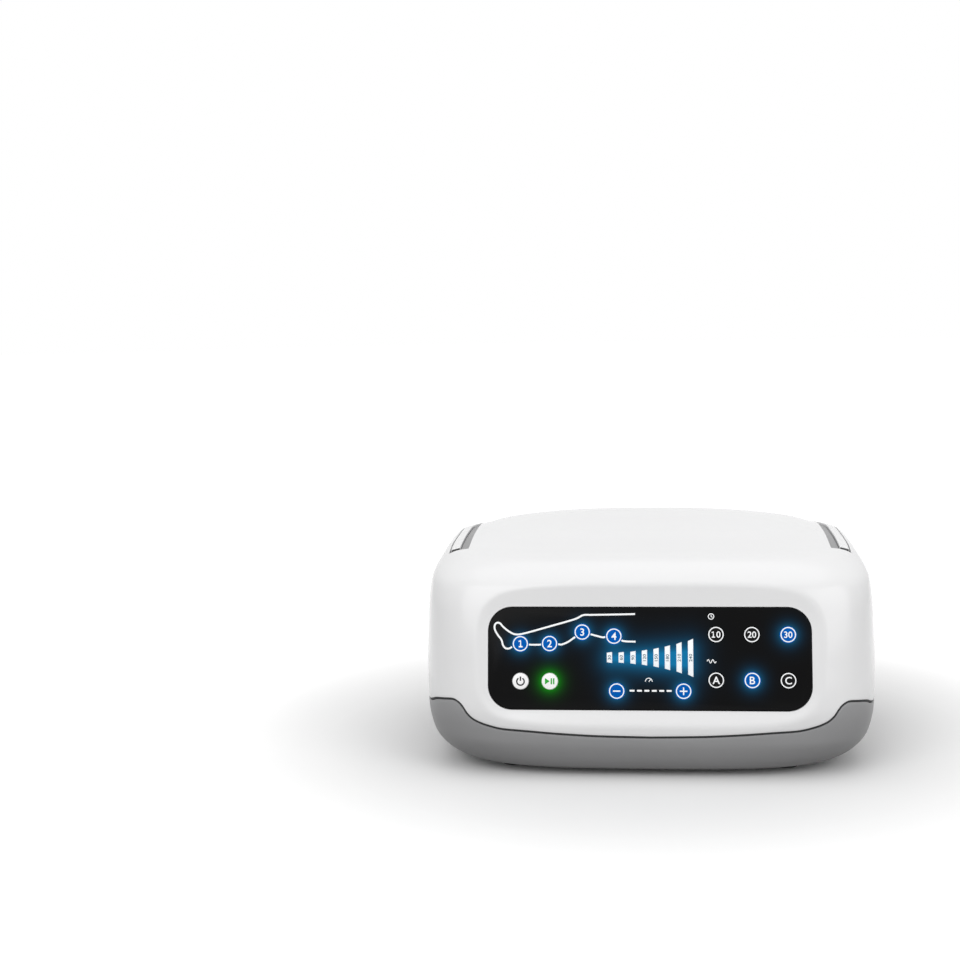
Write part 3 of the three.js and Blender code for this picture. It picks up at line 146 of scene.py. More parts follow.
def flowing(points: Sequence[Point2], steps: int = 6) -> list[Point2]:
    """Points of a smooth line that passes through the given ones.

    Args:
        points: Points that the line passes through.
        steps: Points per stretch.

    Returns:
        The points of the line.
    """
    path = np.array(points, dtype=float)
    ends = np.vstack([2 * path[0] - path[1], path, 2 * path[-1] - path[-2]])
    line: list[Point2] = []
    for i in range(len(path) - 1):
        a, b, c, d = ends[i : i + 4]
        bend, swing = 2 * a - 5 * b + 4 * c - d, 3 * b - a - 3 * c + d
        for k in range(steps):
            t = k / steps
            place = 0.5 * (2 * b + (c - a) * t + bend * t**2 + swing * t**3)
            line.append((float(place[0]), float(place[1])))
    line.append((float(path[-1][0]), float(path[-1][1])))
    return line


def arc(centre: Point2, radius: float, start: float, end: float, steps: int = 24) -> list[Point2]:
    """Points along part of a circle, with the angles in degrees."""
    turns = [math.radians(start + (end - start) * k / steps) for k in range(steps + 1)]
    return [(centre[0] + radius * math.cos(t), centre[1] + radius * math.sin(t)) for t in turns]


# Mesh tools


class Axis(Enum):
    """The three directions of the pump's frame."""

    X = 0
    Y = 1
    Z = 2


class Mesh:
    """Mesh tools that every sub-assembly uses. Lengths are in millimetres."""

    @staticmethod
    def clear() -> None:
        """Leaves edit mode and deselects everything."""
        if bpy.context.object and bpy.context.object.mode != "OBJECT":
            bpy.ops.object.mode_set(mode="OBJECT")
        bpy.ops.object.select_all(action="DESELECT")

    @staticmethod
    def pick(obj: Object) -> None:
        """Makes an object the only selected one and the active one.

        Args:
            obj: The object to select.
        """
        Mesh.clear()
        obj.select_set(True)
        bpy.context.view_layer.objects.active = obj

    @staticmethod
    @contextmanager
    def editing(obj: Object) -> Iterator[bmesh.types.BMesh]:
        """Opens an object for work in edit mode with nothing selected, and closes it again.

        Args:
            obj: The object to open.

        Yields:
            Its mesh in edit mode.
        """
        Mesh.pick(obj)
        bpy.ops.object.mode_set(mode="EDIT")
        bpy.ops.mesh.select_all(action="DESELECT")
        yield bmesh.from_edit_mesh(obj.data)
        bpy.ops.object.mode_set(mode="OBJECT")

    @staticmethod
    def made(name: str) -> Object:
        """Names the primitive that was just added and lays its place into its mesh.

        Args:
            name: The object's new name.

        Returns:
            The object.
        """
        obj = bpy.context.object
        obj.name = obj.data.name = name
        obj.data.transform(obj.matrix_basis)
        obj.matrix_basis = Matrix.Identity(4)
        return obj

    @staticmethod
    def face_out(merge: float = 0.0) -> None:
        """In edit mode, merges points that lie closer than a distance and turns the faces outwards.

        Args:
            merge: Points closer than this, in metres, become one, or 0 for none.
        """
        bpy.ops.mesh.select_all(action="SELECT")
        if merge:
            bpy.ops.mesh.remove_doubles(threshold=merge)
        bpy.ops.mesh.normals_make_consistent(inside=False)

    @staticmethod
    def block(name: str, low: Sequence[float], high: Sequence[float]) -> Object:
        """A box between two corners.

        Args:
            name: The piece's name.
            low: Its lowest corner.
            high: Its highest corner.

        Returns:
            The new object.
        """
        centre = [(a + b) / 2 * MM for a, b in zip(low, high)]
        size = [(b - a) * MM for a, b in zip(low, high)]
        Mesh.clear()
        bpy.ops.mesh.primitive_cube_add(size=1.0, location=centre, scale=size)
        return Mesh.made(name)

    @staticmethod
    def bevel(
        obj: Object, wanted: Callable[[Vector, Vector], bool], radius: float, segments: int
    ) -> None:
        """Rounds the edges that a test picks.

        Args:
            obj: The mesh to work on.
            wanted: Takes an edge's middle and its unit direction, and says whether it is rounded.
            radius: The bevel's width.
            segments: Steps across the bevel.
        """
        with Mesh.editing(obj) as mesh:
            bpy.ops.mesh.select_mode(type="EDGE")
            for edge in mesh.edges:
                start, end = (vert.co / MM for vert in edge.verts)
                if (end - start).length > 1e-6:
                    edge.select_set(bool(wanted((start + end) / 2, (end - start).normalized())))
            bmesh.update_edit_mesh(obj.data)
            bpy.ops.mesh.bevel(offset=radius * MM, segments=segments, affect="EDGES")

    @staticmethod
    def plate(
        name: str, low: Point3, high: Point3, axis: Axis, corner: float,
        rim: float = 0.0, segments: int = 8,
    ) -> Object:
        """A box with round corners about one axis, and a rounded rim at its high end.

        Args:
            name: The piece's name.
            low: Its lowest corner.
            high: Its highest corner.
            axis: The direction the round corners run along.
            corner: Radius of those corners.
            rim: Radius of the rim, or 0 for a sharp one.
            segments: Steps round a corner.

        Returns:
            The new object.
        """
        obj = Mesh.block(name, low, high)
        n = axis.value
        Mesh.bevel(obj, lambda middle, way: abs(way[n]) > 0.99, corner, segments)
        if rim:
            top = high[n] - NEAR
            Mesh.bevel(obj, lambda middle, way: abs(way[n]) < 0.01 and middle[n] > top, rim, 3)
        return obj

    @staticmethod
    def prism(name: str, outline: Iterable[Sequence[float]], low: float, high: float) -> Object:
        """An outline extruded along Z.

        Args:
            name: The piece's name.
            outline: Points (x, y) of its outline.
            low: Height of its lower face.
            high: Height of its upper face.

        Returns:
            The new object.
        """
        points = list(outline)
        Mesh.clear()
        bpy.ops.mesh.primitive_circle_add(vertices=len(points), radius=1.0, fill_type="NGON")
        obj = Mesh.made(name)
        for vert, point in zip(obj.data.vertices, points):
            vert.co = (point[0] * MM, point[1] * MM, low * MM)
        with Mesh.editing(obj):
            bpy.ops.mesh.select_all(action="SELECT")
            bpy.ops.mesh.extrude_region_move(TRANSFORM_OT_translate={"value": (0, 0, (high - low) * MM)})
            Mesh.face_out()
        return obj

    @staticmethod
    def rod(
        name: str, axis: Axis, radius: float, centre: Point2, low: float, high: float, sides: int
    ) -> Object:
        """A cylinder along one axis.

        Args:
            name: The piece's name.
            axis: The direction it runs along.
            radius: Its radius.
            centre: Its place in the other two directions.
            low: Its low end along the axis.
            high: Its high end along the axis.
            sides: Number of sides.

        Returns:
            The new object.
        """
        place = list(centre)
        place.insert(axis.value, (low + high) / 2)
        turn = [(0, math.pi / 2, 0), (math.pi / 2, 0, 0), (0, 0, 0)][axis.value]
        Mesh.clear()
        bpy.ops.mesh.primitive_cylinder_add(
            vertices=sides,
            radius=radius * MM,
            depth=(high - low) * MM,
            location=[value * MM for value in place],
            rotation=turn,
        )
        return Mesh.made(name)

    @staticmethod
    def turned(name: str, profile: Sequence[Point2], sides: int = 48) -> Object:
        """A closed profile of (radius, height) points spun about the Z axis.

        Args:
            name: The piece's name.
            profile: Points (radius, height).
            sides: Steps round the axis.

        Returns:
            The new object.
        """
        Mesh.clear()
        bpy.ops.mesh.primitive_circle_add(vertices=len(profile), radius=1.0, fill_type="NOTHING")
        obj = Mesh.made(name)
        for vert, (radius, height) in zip(obj.data.vertices, profile):
            vert.co = (radius * MM, 0, height * MM)
        with Mesh.editing(obj):
            bpy.ops.mesh.select_all(action="SELECT")
            bpy.ops.mesh.spin(steps=sides, angle=2 * math.pi, center=(0, 0, 0), axis=(0, 0, 1))
            bpy.ops.mesh.select_all(action="SELECT")
            bpy.ops.mesh.remove_doubles(threshold=1e-6)
            bpy.ops.mesh.dissolve_degenerate(threshold=1e-6)
            bpy.ops.mesh.delete_loose(use_verts=True, use_edges=True, use_faces=False)
            Mesh.face_out()
        return obj

    @staticmethod
    def rings(name: str, rings: Sequence[np.ndarray], tip: Point3 | None = None) -> Object:
        """A closed body through rings of equal point counts, for forms no primitive can be shaped to.

        Args:
            name: The piece's name.
            rings: Anticlockwise rings of points from the low end to the high end.
            tip: A last point that closes the high end, or none for a flat end.

        Returns:
            The new object.
        """
        count = len(rings[0])
        points = [tuple(point * MM) for ring in rings for point in ring]
        column = np.arange(count)
        after = (column + 1) % count
        faces = []
        for level in range(len(rings) - 1):
            a, b = level * count + column, level * count + after
            faces += np.stack([a, b, b + count, a + count], axis=1).tolist()
        faces.append(column[::-1].tolist())
        last = (len(rings) - 1) * count
        if tip is None:
            faces.append((last + column).tolist())
        else:
            points.append(tuple(np.array(tip) * MM))
            faces += [[last + i, last + j, len(points) - 1] for i, j in zip(column.tolist(), after.tolist())]
        mesh = bpy.data.meshes.new(name)
        mesh.from_pydata(points, [], faces)
        obj = bpy.data.objects.new(name, mesh)
        bpy.context.scene.collection.objects.link(obj)
        return obj

    @staticmethod
    def combine(target: Object, other: Object, how: str = "DIFFERENCE") -> None:
        """Cuts, joins or keeps the common part of two closed bodies, and drops the second.

        Args:
            target: The body that is changed.
            other: The body that is used up.
            how: The name of Blender's operation.
        """
        tool = target.modifiers.new("combine", "BOOLEAN")
        tool.operation, tool.solver, tool.object = how, "MANIFOLD", other
        Mesh.pick(target)
        bpy.ops.object.modifier_apply(modifier=tool.name)
        bpy.data.objects.remove(other)

    @staticmethod
    def copied(obj: Object, name: str, shift: Sequence[float] = (0, 0, 0)) -> Object:
        """A copy with its own mesh, moved by a distance.

        Args:
            obj: The object to copy.
            name: The copy's name.
            shift: How far it moves.

        Returns:
            The copy.
        """
        twin = obj.copy()
        twin.data = obj.data.copy()
        twin.name = twin.data.name = name
        bpy.context.scene.collection.objects.link(twin)
        twin.data.transform(Matrix.Translation([value * MM for value in shift]))
        return twin

    @staticmethod
    def merged(name: str, objects: Sequence[Object]) -> Object:
        """Several objects made one.

        Args:
            name: The new object's name.
            objects: The objects, which are used up.

        Returns:
            The new object.
        """
        Mesh.clear()
        for obj in objects:
            obj.select_set(True)
        bpy.context.view_layer.objects.active = objects[0]
        if len(objects) > 1:
            bpy.ops.object.join()
        obj = bpy.context.object
        obj.name = obj.data.name = name
        return obj

    @staticmethod
    def tube(name: str, points: Sequence[Point3], radius: float, closed: bool = False) -> Object:
        """A round tube along a line of points, with closed ends.

        Args:
            name: The piece's name.
            points: Points of its middle line.
            radius: Its radius.
            closed: Whether the line runs back to its start.

        Returns:
            The new object.
        """
        Mesh.clear()
        bpy.ops.curve.primitive_nurbs_path_add()
        curve = bpy.context.object
        curve.data.splines.clear()
        spline = curve.data.splines.new("POLY")
        spline.points.add(len(points) - 1)
        for knot, point in zip(spline.points, points):
            knot.co = (*(value * MM for value in point), 1.0)
        spline.use_cyclic_u = closed
        curve.data.bevel_depth = radius * MM
        curve.data.bevel_resolution = 3
        curve.data.use_fill_caps = True
        curve.location = (0, 0, 0)
        bpy.ops.object.convert(target="MESH")
        return Mesh.made(name)

    @staticmethod
    def line_print(
        name: str, points: Sequence[Point2], width: float, lift: float, closed: bool = False
    ) -> Object:
        """A printed line: a tube pressed flat, lying on the plane z = 0.

        Args:
            name: The piece's name.
            points: The line's points.
            width: Width of the line.
            lift: How far it stands above the plane.
            closed: Joins the last point to the first.

        Returns:
            The new object.
        """
        obj = Mesh.tube(name, [(x, y, 0.0) for x, y in points], width / 2, closed)
        obj.data.transform(Matrix.Diagonal((1, 1, 2 * lift / width, 1)))
        return obj

    @staticmethod
    def lettering(name: str, text: str, height: float, lift: float) -> Object:
        """Raised generic characters, centred on the origin of the plane z = 0.

        Args:
            name: The piece's name.
            text: The characters.
            height: Their height.
            lift: How far they stand above the plane.

        Returns:
            The new object.
        """
        bold, thick = 0.012, 0.05
        Mesh.clear()
        bpy.ops.object.text_add()
        words = bpy.context.object
        words.data.body = text
        words.data.size = 1.0
        words.data.offset, words.data.extrude = bold, thick
        words.data.resolution_u = 4
        bpy.ops.object.convert(target="MESH")
        obj = Mesh.made(name)
        spots = np.array([vert.co[:] for vert in obj.data.vertices])
        low, high = spots.min(axis=0), spots.max(axis=0)
        grow = height / (high[1] - low[1]) * MM
        centre = Matrix.Translation((-(low[0] + high[0]) / 2, -(low[1] + high[1]) / 2, 0))
        obj.data.transform(Matrix.Diagonal((grow, grow, lift * MM / thick, 1)) @ centre)
        with Mesh.editing(obj):
            Mesh.face_out(1e-7)
        return obj

    @staticmethod
    def finish(obj: Object, material: Material, slot: str, body: str, stands_for: Sequence[str]) -> None:
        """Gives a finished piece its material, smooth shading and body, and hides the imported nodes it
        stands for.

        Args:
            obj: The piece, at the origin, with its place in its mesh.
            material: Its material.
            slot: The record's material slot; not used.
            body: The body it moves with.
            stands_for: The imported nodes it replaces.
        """
        Mesh.pick(obj)
        bpy.ops.object.shade_smooth_by_angle(angle=SHARP)
        obj.data.materials.clear()
        obj.data.materials.append(material)
        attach(obj, body)
        if stands_for:
            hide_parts(*stands_for)
        log.info("%s: %d faces on %s", obj.name, len(obj.data.polygons), body)


# Forms that several pieces share


@dataclass(frozen=True)
class HousingForm:
    """The pump's outer skin and its parting line."""

    half_width: float = 130.0
    half_depth: float = 100.0
    low: float = 2.5
    high: float = 138.5
    centre_low: float = -18.5
    centre_high: float = 21.0
    centre_turns: float = 0.762
    softness: float = 1.6
    sampling: float = 0.5
    ring_samples: int = 260
    seam_height: float = 39.694
    seam_dip: float = 14.293
    # Shares of the height, the half width and the reach to front and back, and the squareness.
    levels: tuple[tuple[float, float, float, float, float], ...] = (
        (0.0, 0.738, 0.825, 0.855, 3.2),
        (0.0186, 0.854, 0.9, 0.925, 3.6),
        (0.0483, 0.9115, 0.94, 0.955, 3.8),
        (0.093, 0.9515, 0.973, 0.98, 4.2),
        (0.145, 0.977, 0.993, 0.992, 4.6),
        (0.2565, 0.996, 0.9969, 0.9955, 5.0),
        (0.465, 1.0, 0.949, 0.9955, 5.0),
        (0.673, 0.994, 0.881, 0.993, 5.0),
        (0.777, 0.9815, 0.831, 0.975, 4.7),
        (0.818, 0.9655, 0.791, 0.955, 4.4),
        (0.851, 0.9445, 0.741, 0.93, 4.1),
        (0.877, 0.928, 0.68, 0.9, 3.9),
        (0.889, 0.9155, 0.605, 0.86, 3.8),
        (0.8965, 0.89, 0.525, 0.815, 3.7),
        (0.9195, 0.8, 0.34, 0.71, 3.3),
        (0.945, 0.7077, 0.21, 0.63, 3.1),
        (0.983, 0.4154, -0.08, 0.42, 2.7),
        (0.9948, 0.2308, -0.15, 0.3, 2.4),
    )
    # Shares of the half width and of the dip.
    seam_points: tuple[Point2, ...] = (
        (0.0, 1.0), (0.215, 0.965), (0.388, 0.888), (0.534, 0.797), (0.634, 0.741), (0.703, 0.615),
        (0.76, 0.427), (0.792, 0.189), (0.808, -0.021), (0.828, -0.217), (0.858, -0.329),
        (0.896, -0.287), (0.936, -0.21), (0.98, 0.0), (1.2, 0.0),
    )

    @cached_property
    def profile(self) -> np.ndarray:
        """Height, half width, front reach, back reach, ring centre and squareness up the skin.

        Returns:
            A row for each of these six, with a column per place up the skin.
        """
        apex = (1.0, 0.0, -self.centre_high / self.half_depth, self.centre_high / self.half_depth, 2.3)
        share, width, front, back, square = np.array([*self.levels, apex]).T
        table = np.stack([
            self.low + share * (self.high - self.low), width * self.half_width,
            front * self.half_depth, back * self.half_depth, square,
        ])
        travel = np.concatenate([[0.0], np.cumsum(np.linalg.norm(np.diff(table[:3], axis=1), axis=0))])
        places = np.append(np.arange(0.0, travel[-1], self.sampling), travel[-1])
        fine = np.stack([smooth_between(travel, row, places) for row in table])
        risen = (fine[0] - self.low) / (self.high - self.low)
        turn = np.clip((risen - self.centre_turns) / (1 - self.centre_turns), 0, 1)
        centre = self.centre_low + (self.centre_high - self.centre_low) * turn**2 * (3 - 2 * turn)
        fine = np.vstack([fine[:4], centre, fine[4]])
        reach = int(4 * self.softness / self.sampling)
        kernel = np.exp(-0.5 * (np.arange(-reach, reach + 1) * self.sampling / self.softness) ** 2)
        over = fine[:, -2 : -reach - 2 : -1].copy()
        over[1] *= -1
        over[[2, 3]] = -over[[3, 2]]
        under = 2 * fine[:, :1] - fine[:, reach:0:-1]
        padded = np.hstack([under, fine, over])
        soft = np.stack([np.convolve(row, kernel / kernel.sum(), "valid") for row in padded])
        soft[4] = np.clip(soft[4], -soft[2], soft[3])
        soft[1, -1] = 0.0
        return soft

    def grid(self, front_columns: int, back_columns: int, inset: float = 0.0) -> np.ndarray:
        """Points of the skin in rings up the profile.

        Args:
            front_columns: Columns in each front quarter, from the middle of the front.
            back_columns: Columns in each back quarter.
            inset: Distance inside the skin.

        Returns:
            An array of rings by columns by three, anticlockwise from the middle of the front.
        """
        z, width, front, back, centre, square = self.profile
        z = self.low + inset + (z - self.low) * (self.high - self.low - 2 * inset) / (self.high - self.low)
        width = np.maximum(width - inset, 0.0)
        to_front = np.maximum(centre + front - inset, 0.0)
        to_back = np.maximum(back - centre - inset, 0.0)
        turn = np.linspace(0.0, math.pi / 2, self.ring_samples)
        rings = []
        for i in range(len(z)):
            power = square[i]
            grow = (np.sin(turn) ** power + np.cos(turn) ** power) ** (-1 / power)
            across, along = width[i] * np.sin(turn) * grow, np.cos(turn) * grow
            quarters = []
            for reach, columns in ((-to_front[i], front_columns), (to_back[i], back_columns)):
                x, y = across, centre[i] + reach * along
                travel = np.concatenate([[0.0], np.cumsum(np.hypot(np.diff(x), np.diff(y)))])
                share = np.linspace(0.0, max(travel[-1], 1e-9), columns + 1)
                quarters.append((np.interp(share, travel, x), np.interp(share, travel, y)))
            (fx, fy), (bx, by) = quarters
            x = np.concatenate([fx[:-1], bx[:0:-1], -bx[:-1], -fx[:0:-1]])
            y = np.concatenate([fy[:-1], by[:0:-1], by[:-1], fy[:0:-1]])
            rings.append(np.stack([x, y, np.full_like(x, z[i])], axis=1))
        return np.array(rings)

    def seam_z(self, x: np.ndarray, y: np.ndarray) -> np.ndarray:
        """Height of the parting line at places round the skin.

        Args:
            x: Places across the pump.
            y: Places from front to back.

        Returns:
            The heights.
        """
        across, dip = np.array(self.seam_points).T
        drop = smooth_between(across * self.half_width, dip, np.abs(x)) * self.seam_dip
        return self.seam_height - np.where(y < 0, drop, 0.0)

    def top_z(self, x: np.ndarray, y: np.ndarray) -> np.ndarray:
        """Height of the top of the skin over places in plan.

        Args:
            x: Places across the pump.
            y: Places from front to back.

        Returns:
            The heights.
        """
        z, width, front, back, centre, square = self.profile
        steps = np.arange(len(z), dtype=float)
        low, high = np.full(np.shape(x), len(z) * 0.3), np.full(np.shape(x), len(z) - 1.0)
        for _ in range(28):
            here = (low + high) / 2
            at = [np.interp(here, steps, row) for row in (width, front, back, centre, square)]
            reach = np.where(y < at[3], at[3] + at[1], at[2] - at[3])
            across, along = np.abs(x) / np.maximum(at[0], 1e-6), np.abs(y - at[3]) / np.maximum(reach, 1e-6)
            outside = np.minimum(across, 50) ** at[4] + np.minimum(along, 50) ** at[4] > 1
            low, high = np.where(outside, low, here), np.where(outside, here, high)
        return np.interp((low + high) / 2, steps, z)


@dataclass(frozen=True)
class PanelPlace:
    """The tilted plane of the control panel and the hollow that it lies in."""

    half_width: float = 90.48
    half_height: float = 28.81
    corner: float = 13.5
    origin: Point3 = (0.0, -89.65, 68.447)
    tilt: float = 12.5
    rim: float = 1.0
    side_ratio: float = 8.0
    top_ratio: float = 6.0
    bottom_ratio: float = 4.3
    foot_softness: float = 0.16
    edge_softness: float = 0.7

    @cached_property
    def axes(self) -> np.ndarray:
        """Unit directions across, up and out of the panel, one per row."""
        sin, cos = math.sin(math.radians(self.tilt)), math.cos(math.radians(self.tilt))
        return np.array([[1.0, 0.0, 0.0], [0.0, sin, cos], [0.0, -cos, sin]])

    @cached_property
    def matrix(self) -> Matrix:
        """Takes a mesh laid on the plane z = 0 to the panel.

        Returns:
            The matrix that does so.
        """
        place = Matrix(self.axes.T.tolist()).to_4x4()
        place.translation = Vector(self.origin) * MM
        return place

    def local(self, points: np.ndarray) -> np.ndarray:
        """Places across, up and out of the panel."""
        return (points - np.array(self.origin)) @ self.axes.T

    def hollow(self, across: np.ndarray, up: np.ndarray) -> np.ndarray:
        """How far the hollow's surface stands out of the panel plane.

        Args:
            across: Places across the panel.
            up: Places up the panel.

        Returns:
            The distances in front of the plane.
        """
        radius = self.corner + self.rim
        du = np.abs(across) - (self.half_width + self.rim - radius)
        dv = np.abs(up) - (self.half_height + self.rim - radius)
        ratio = np.where(up > 0, self.top_ratio, self.bottom_ratio)
        low, high = np.full_like(du, -1.5), np.full_like(du, 80.0)
        for _ in range(34):
            out = (low + high) / 2
            x = np.maximum(du, 0) / (radius + self.side_ratio * out)
            y = np.maximum(dv, 0) / (radius + ratio * out)
            beyond = x**2 + y**2 > 1
            low, high = np.where(beyond, out, low), np.where(beyond, high, out)
        out = (low + high) / 2
        soft = self.foot_softness
        return np.where(out > soft, out, np.where(out < -soft, 0.0, (out + soft) ** 2 / (4 * soft)))

    def sunk(self, points: np.ndarray) -> np.ndarray:
        """Skin points after the hollow has been pressed into them.

        Args:
            points: Points of the skin.

        Returns:
            The points, moved where the hollow lies.
        """
        local = self.local(points)
        near = (points[..., 1] < -20) & (points[..., 2] > self.origin[2] - 50)
        floor = self.hollow(local[..., 0], local[..., 1])
        skin = local[..., 2]
        soft = self.edge_softness
        share = np.clip(0.5 + 0.5 * (floor - skin) / soft, 0, 1)
        level = floor * (1 - share) + skin * share - soft * share * (1 - share)
        return points + np.where(near, level - skin, 0.0)[..., None] * self.axes[2]


# Finishes


class Sheet:
    """Places and joins the nodes of one material or group."""

    def __init__(self, tree: NodeTree) -> None:
        """Starts with an empty tree."""
        self.tree = tree
        tree.nodes.clear()

    def fill(self, node: Node, inputs: dict[str | int, object]) -> Node:
        """Joins or sets the inputs of a node.

        Args:
            node: The node to fill.
            inputs: A socket or a value for each input.

        Returns:
            The node.
        """
        for key, value in inputs.items():
            if isinstance(value, NodeSocket):
                self.tree.links.new(value, node.inputs[key])
            else:
                node.inputs[key].default_value = value
        return node

    def node(
        self, kind: str, inputs: dict[str | int, object] | None = None, **settings: object
    ) -> Node:
        """Adds a node.

        Args:
            kind: Its type, without the leading ShaderNode.
            inputs: Sockets by name or number, each with a value or with another node's output.
            **settings: Properties of the node.

        Returns:
            The new node.
        """
        made = self.tree.nodes.new("ShaderNode" + kind)
        for name, value in settings.items():
            setattr(made, name, value)
        return self.fill(made, inputs or {})

    def sum_up(self, operation: str, *values: object) -> NodeSocket:
        """Adds a Math node and gives its output."""
        return self.node("Math", dict(enumerate(values)), operation=operation).outputs[0]

    def scaled(self, vector: object, scale: object) -> NodeSocket:
        """Adds a node that scales a colour or vector and gives its output."""
        return self.node("VectorMath", {0: vector, "Scale": scale}, operation="SCALE").outputs[0]

    def noise(self, vector: object, scale: object, detail: float) -> NodeSocket:
        """Adds a cloud pattern and gives its value."""
        return self.node("TexNoise", {"Vector": vector, "Scale": scale, "Detail": detail}).outputs["Fac"]

    def effect(self, group: NodeTree, inputs: dict[str, object]) -> Node:
        """Places a shared effect with its own values.

        Args:
            group: The shared effect.
            inputs: A socket or a value for each input.

        Returns:
            The node that holds the effect.
        """
        made = self.tree.nodes.new("ShaderNodeGroup")
        made.node_tree = group
        return self.fill(made, inputs)


class Effects:
    """Shader effects that several finishes share, each built once as a node group."""

    def __init__(self, place: PanelPlace) -> None:
        """Builds the groups.

        Args:
            place: Where the panel stands, for the glows on it.
        """
        self.place = place
        self.drift = self.tone_drift()
        self.moulding = self.moulded_surface()
        self.spot = self.glow_spot()
        self.wedge = self.glow_wedge()

    @staticmethod
    def opened(
        name: str, inputs: Sequence[tuple[str, str, object]], outputs: Sequence[tuple[str, str]]
    ) -> tuple[Sheet, Node, Node]:
        """Starts a group.

        Args:
            name: The group's name.
            inputs: Name, socket type and first value of each input.
            outputs: Name and socket type of each output.

        Returns:
            The group's sheet, its input node and its output node.
        """
        tree = bpy.data.node_groups.new(name, "ShaderNodeTree")
        for label, kind, value in inputs:
            socket = tree.interface.new_socket(label, in_out="INPUT", socket_type="NodeSocket" + kind)
            socket.default_value = value
        for label, kind in outputs:
            tree.interface.new_socket(label, in_out="OUTPUT", socket_type="NodeSocket" + kind)
        sheet = Sheet(tree)
        return sheet, tree.nodes.new("NodeGroupInput"), tree.nodes.new("NodeGroupOutput")

    def tone_drift(self) -> NodeTree:
        """A colour that drifts a little lighter and darker over the piece.

        Returns:
            The node group.
        """
        sheet, given, result = self.opened(
            "tone_drift",
            [("Colour", "Color", (0.5, 0.5, 0.5, 1)), ("Amount", "Float", 0.03), ("Scale", "Float", 20.0)],
            [("Colour", "Color")],
        )
        place = sheet.node("TexCoord").outputs["Object"]
        cloud = sheet.noise(place, given.outputs["Scale"], 3.0)
        darker = sheet.sum_up("SUBTRACT", 1.0, given.outputs["Amount"])
        lighter = sheet.sum_up("ADD", 1.0, given.outputs["Amount"])
        span = {"From Min": 0.3, "From Max": 0.7, "To Min": darker, "To Max": lighter}
        level = sheet.node("MapRange", {"Value": cloud, **span})
        sheet.fill(result, {"Colour": sheet.scaled(given.outputs["Colour"], level.outputs[0])})
        return sheet.tree

    def moulded_surface(self) -> NodeTree:
        """The fine grain of a moulded or machined surface, with patches of handling.

        Returns:
            The node group.
        """
        sheet, given, result = self.opened(
            "moulded_surface",
            [
                ("Scale", "Float", 900.0), ("Height", "Float", 0.00002), ("Roughness", "Float", 0.4),
                ("Spread", "Float", 0.06), ("Stretch", "Vector", (1.0, 1.0, 1.0)),
            ],
            [("Roughness", "Float"), ("Normal", "Vector")],
        )
        place = sheet.node("TexCoord").outputs["Object"]
        drawn = sheet.node("VectorMath", {0: place, 1: given.outputs["Stretch"]}, operation="MULTIPLY")
        grain = sheet.noise(drawn.outputs[0], given.outputs["Scale"], 4.0)
        patches = sheet.noise(place, 35.0, 5.0)
        mixed = sheet.sum_up("MULTIPLY_ADD", grain, 0.4, sheet.sum_up("MULTIPLY", patches, 0.6))
        centred = sheet.sum_up("SUBTRACT", mixed, 0.5)
        spread = sheet.sum_up("MULTIPLY", given.outputs["Spread"], 4.0)
        rough = sheet.sum_up("MULTIPLY_ADD", centred, spread, given.outputs["Roughness"])
        bump = sheet.node("Bump", {"Height": grain, "Distance": given.outputs["Height"], "Strength": 1.0})
        sheet.fill(result, {"Roughness": rough, "Normal": bump.outputs[0]})
        return sheet.tree

    @staticmethod
    def faded(sheet: Sheet, away: NodeSocket, reach: NodeSocket) -> NodeSocket:
        """A mask that falls off evenly with the distance."""
        share = sheet.sum_up("DIVIDE", away, reach)
        return sheet.sum_up("EXPONENT", sheet.sum_up("MULTIPLY", share, -1.0))

    def glow_spot(self) -> NodeTree:
        """A round glow on the panel that fades outwards from the edge of a lit key.

        Returns:
            The node group.
        """
        sheet, given, result = self.opened(
            "glow_spot",
            [
                ("Place", "Vector", (0, 0, 0)), ("Centre", "Vector", (0, 0, 0)),
                ("Radius", "Float", 0.0045), ("Reach", "Float", 0.0022),
            ],
            [("Mask", "Float")],
        )
        ends = {0: given.outputs["Place"], 1: given.outputs["Centre"]}
        away = sheet.node("VectorMath", ends, operation="DISTANCE").outputs["Value"]
        beyond = sheet.sum_up("MAXIMUM", sheet.sum_up("SUBTRACT", away, given.outputs["Radius"]), 0.0)
        sheet.fill(result, {"Mask": self.faded(sheet, beyond, given.outputs["Reach"])})
        return sheet.tree

    def glow_wedge(self) -> NodeTree:
        """A glow on the panel round the rising row of pressure bars.

        Returns:
            The node group.
        """
        sheet, given, result = self.opened(
            "glow_wedge",
            [
                ("Place", "Vector", (0, 0, 0)), ("Left", "Float", -0.0200), ("Right", "Float", 0.0215),
                ("Low", "Float", 0.0005), ("Tall", "Float", 0.0040), ("Reach", "Float", 0.0040),
            ],
            [("Mask", "Float")],
        )
        split = sheet.node("SeparateXYZ", {0: given.outputs["Place"]})
        across, up = split.outputs[0], sheet.sum_up("ABSOLUTE", split.outputs[1])
        left, right, low, tall = (given.outputs[name] for name in ("Left", "Right", "Low", "Tall"))
        span = {"From Min": left, "From Max": right, "To Min": low, "To Max": tall}
        height = sheet.node("MapRange", {"Value": across, **span}).outputs[0]
        before, behind = sheet.sum_up("SUBTRACT", left, across), sheet.sum_up("SUBTRACT", across, right)
        side = sheet.sum_up("MAXIMUM", sheet.sum_up("MAXIMUM", before, behind), 0.0)
        over = sheet.sum_up("MAXIMUM", sheet.sum_up("SUBTRACT", up, height), 0.0)
        squares = [sheet.sum_up("MULTIPLY", part, part) for part in (side, over)]
        away = sheet.sum_up("SQRT", sheet.sum_up("ADD", *squares))
        sheet.fill(result, {"Mask": self.faded(sheet, away, given.outputs["Reach"])})
        return sheet.tree


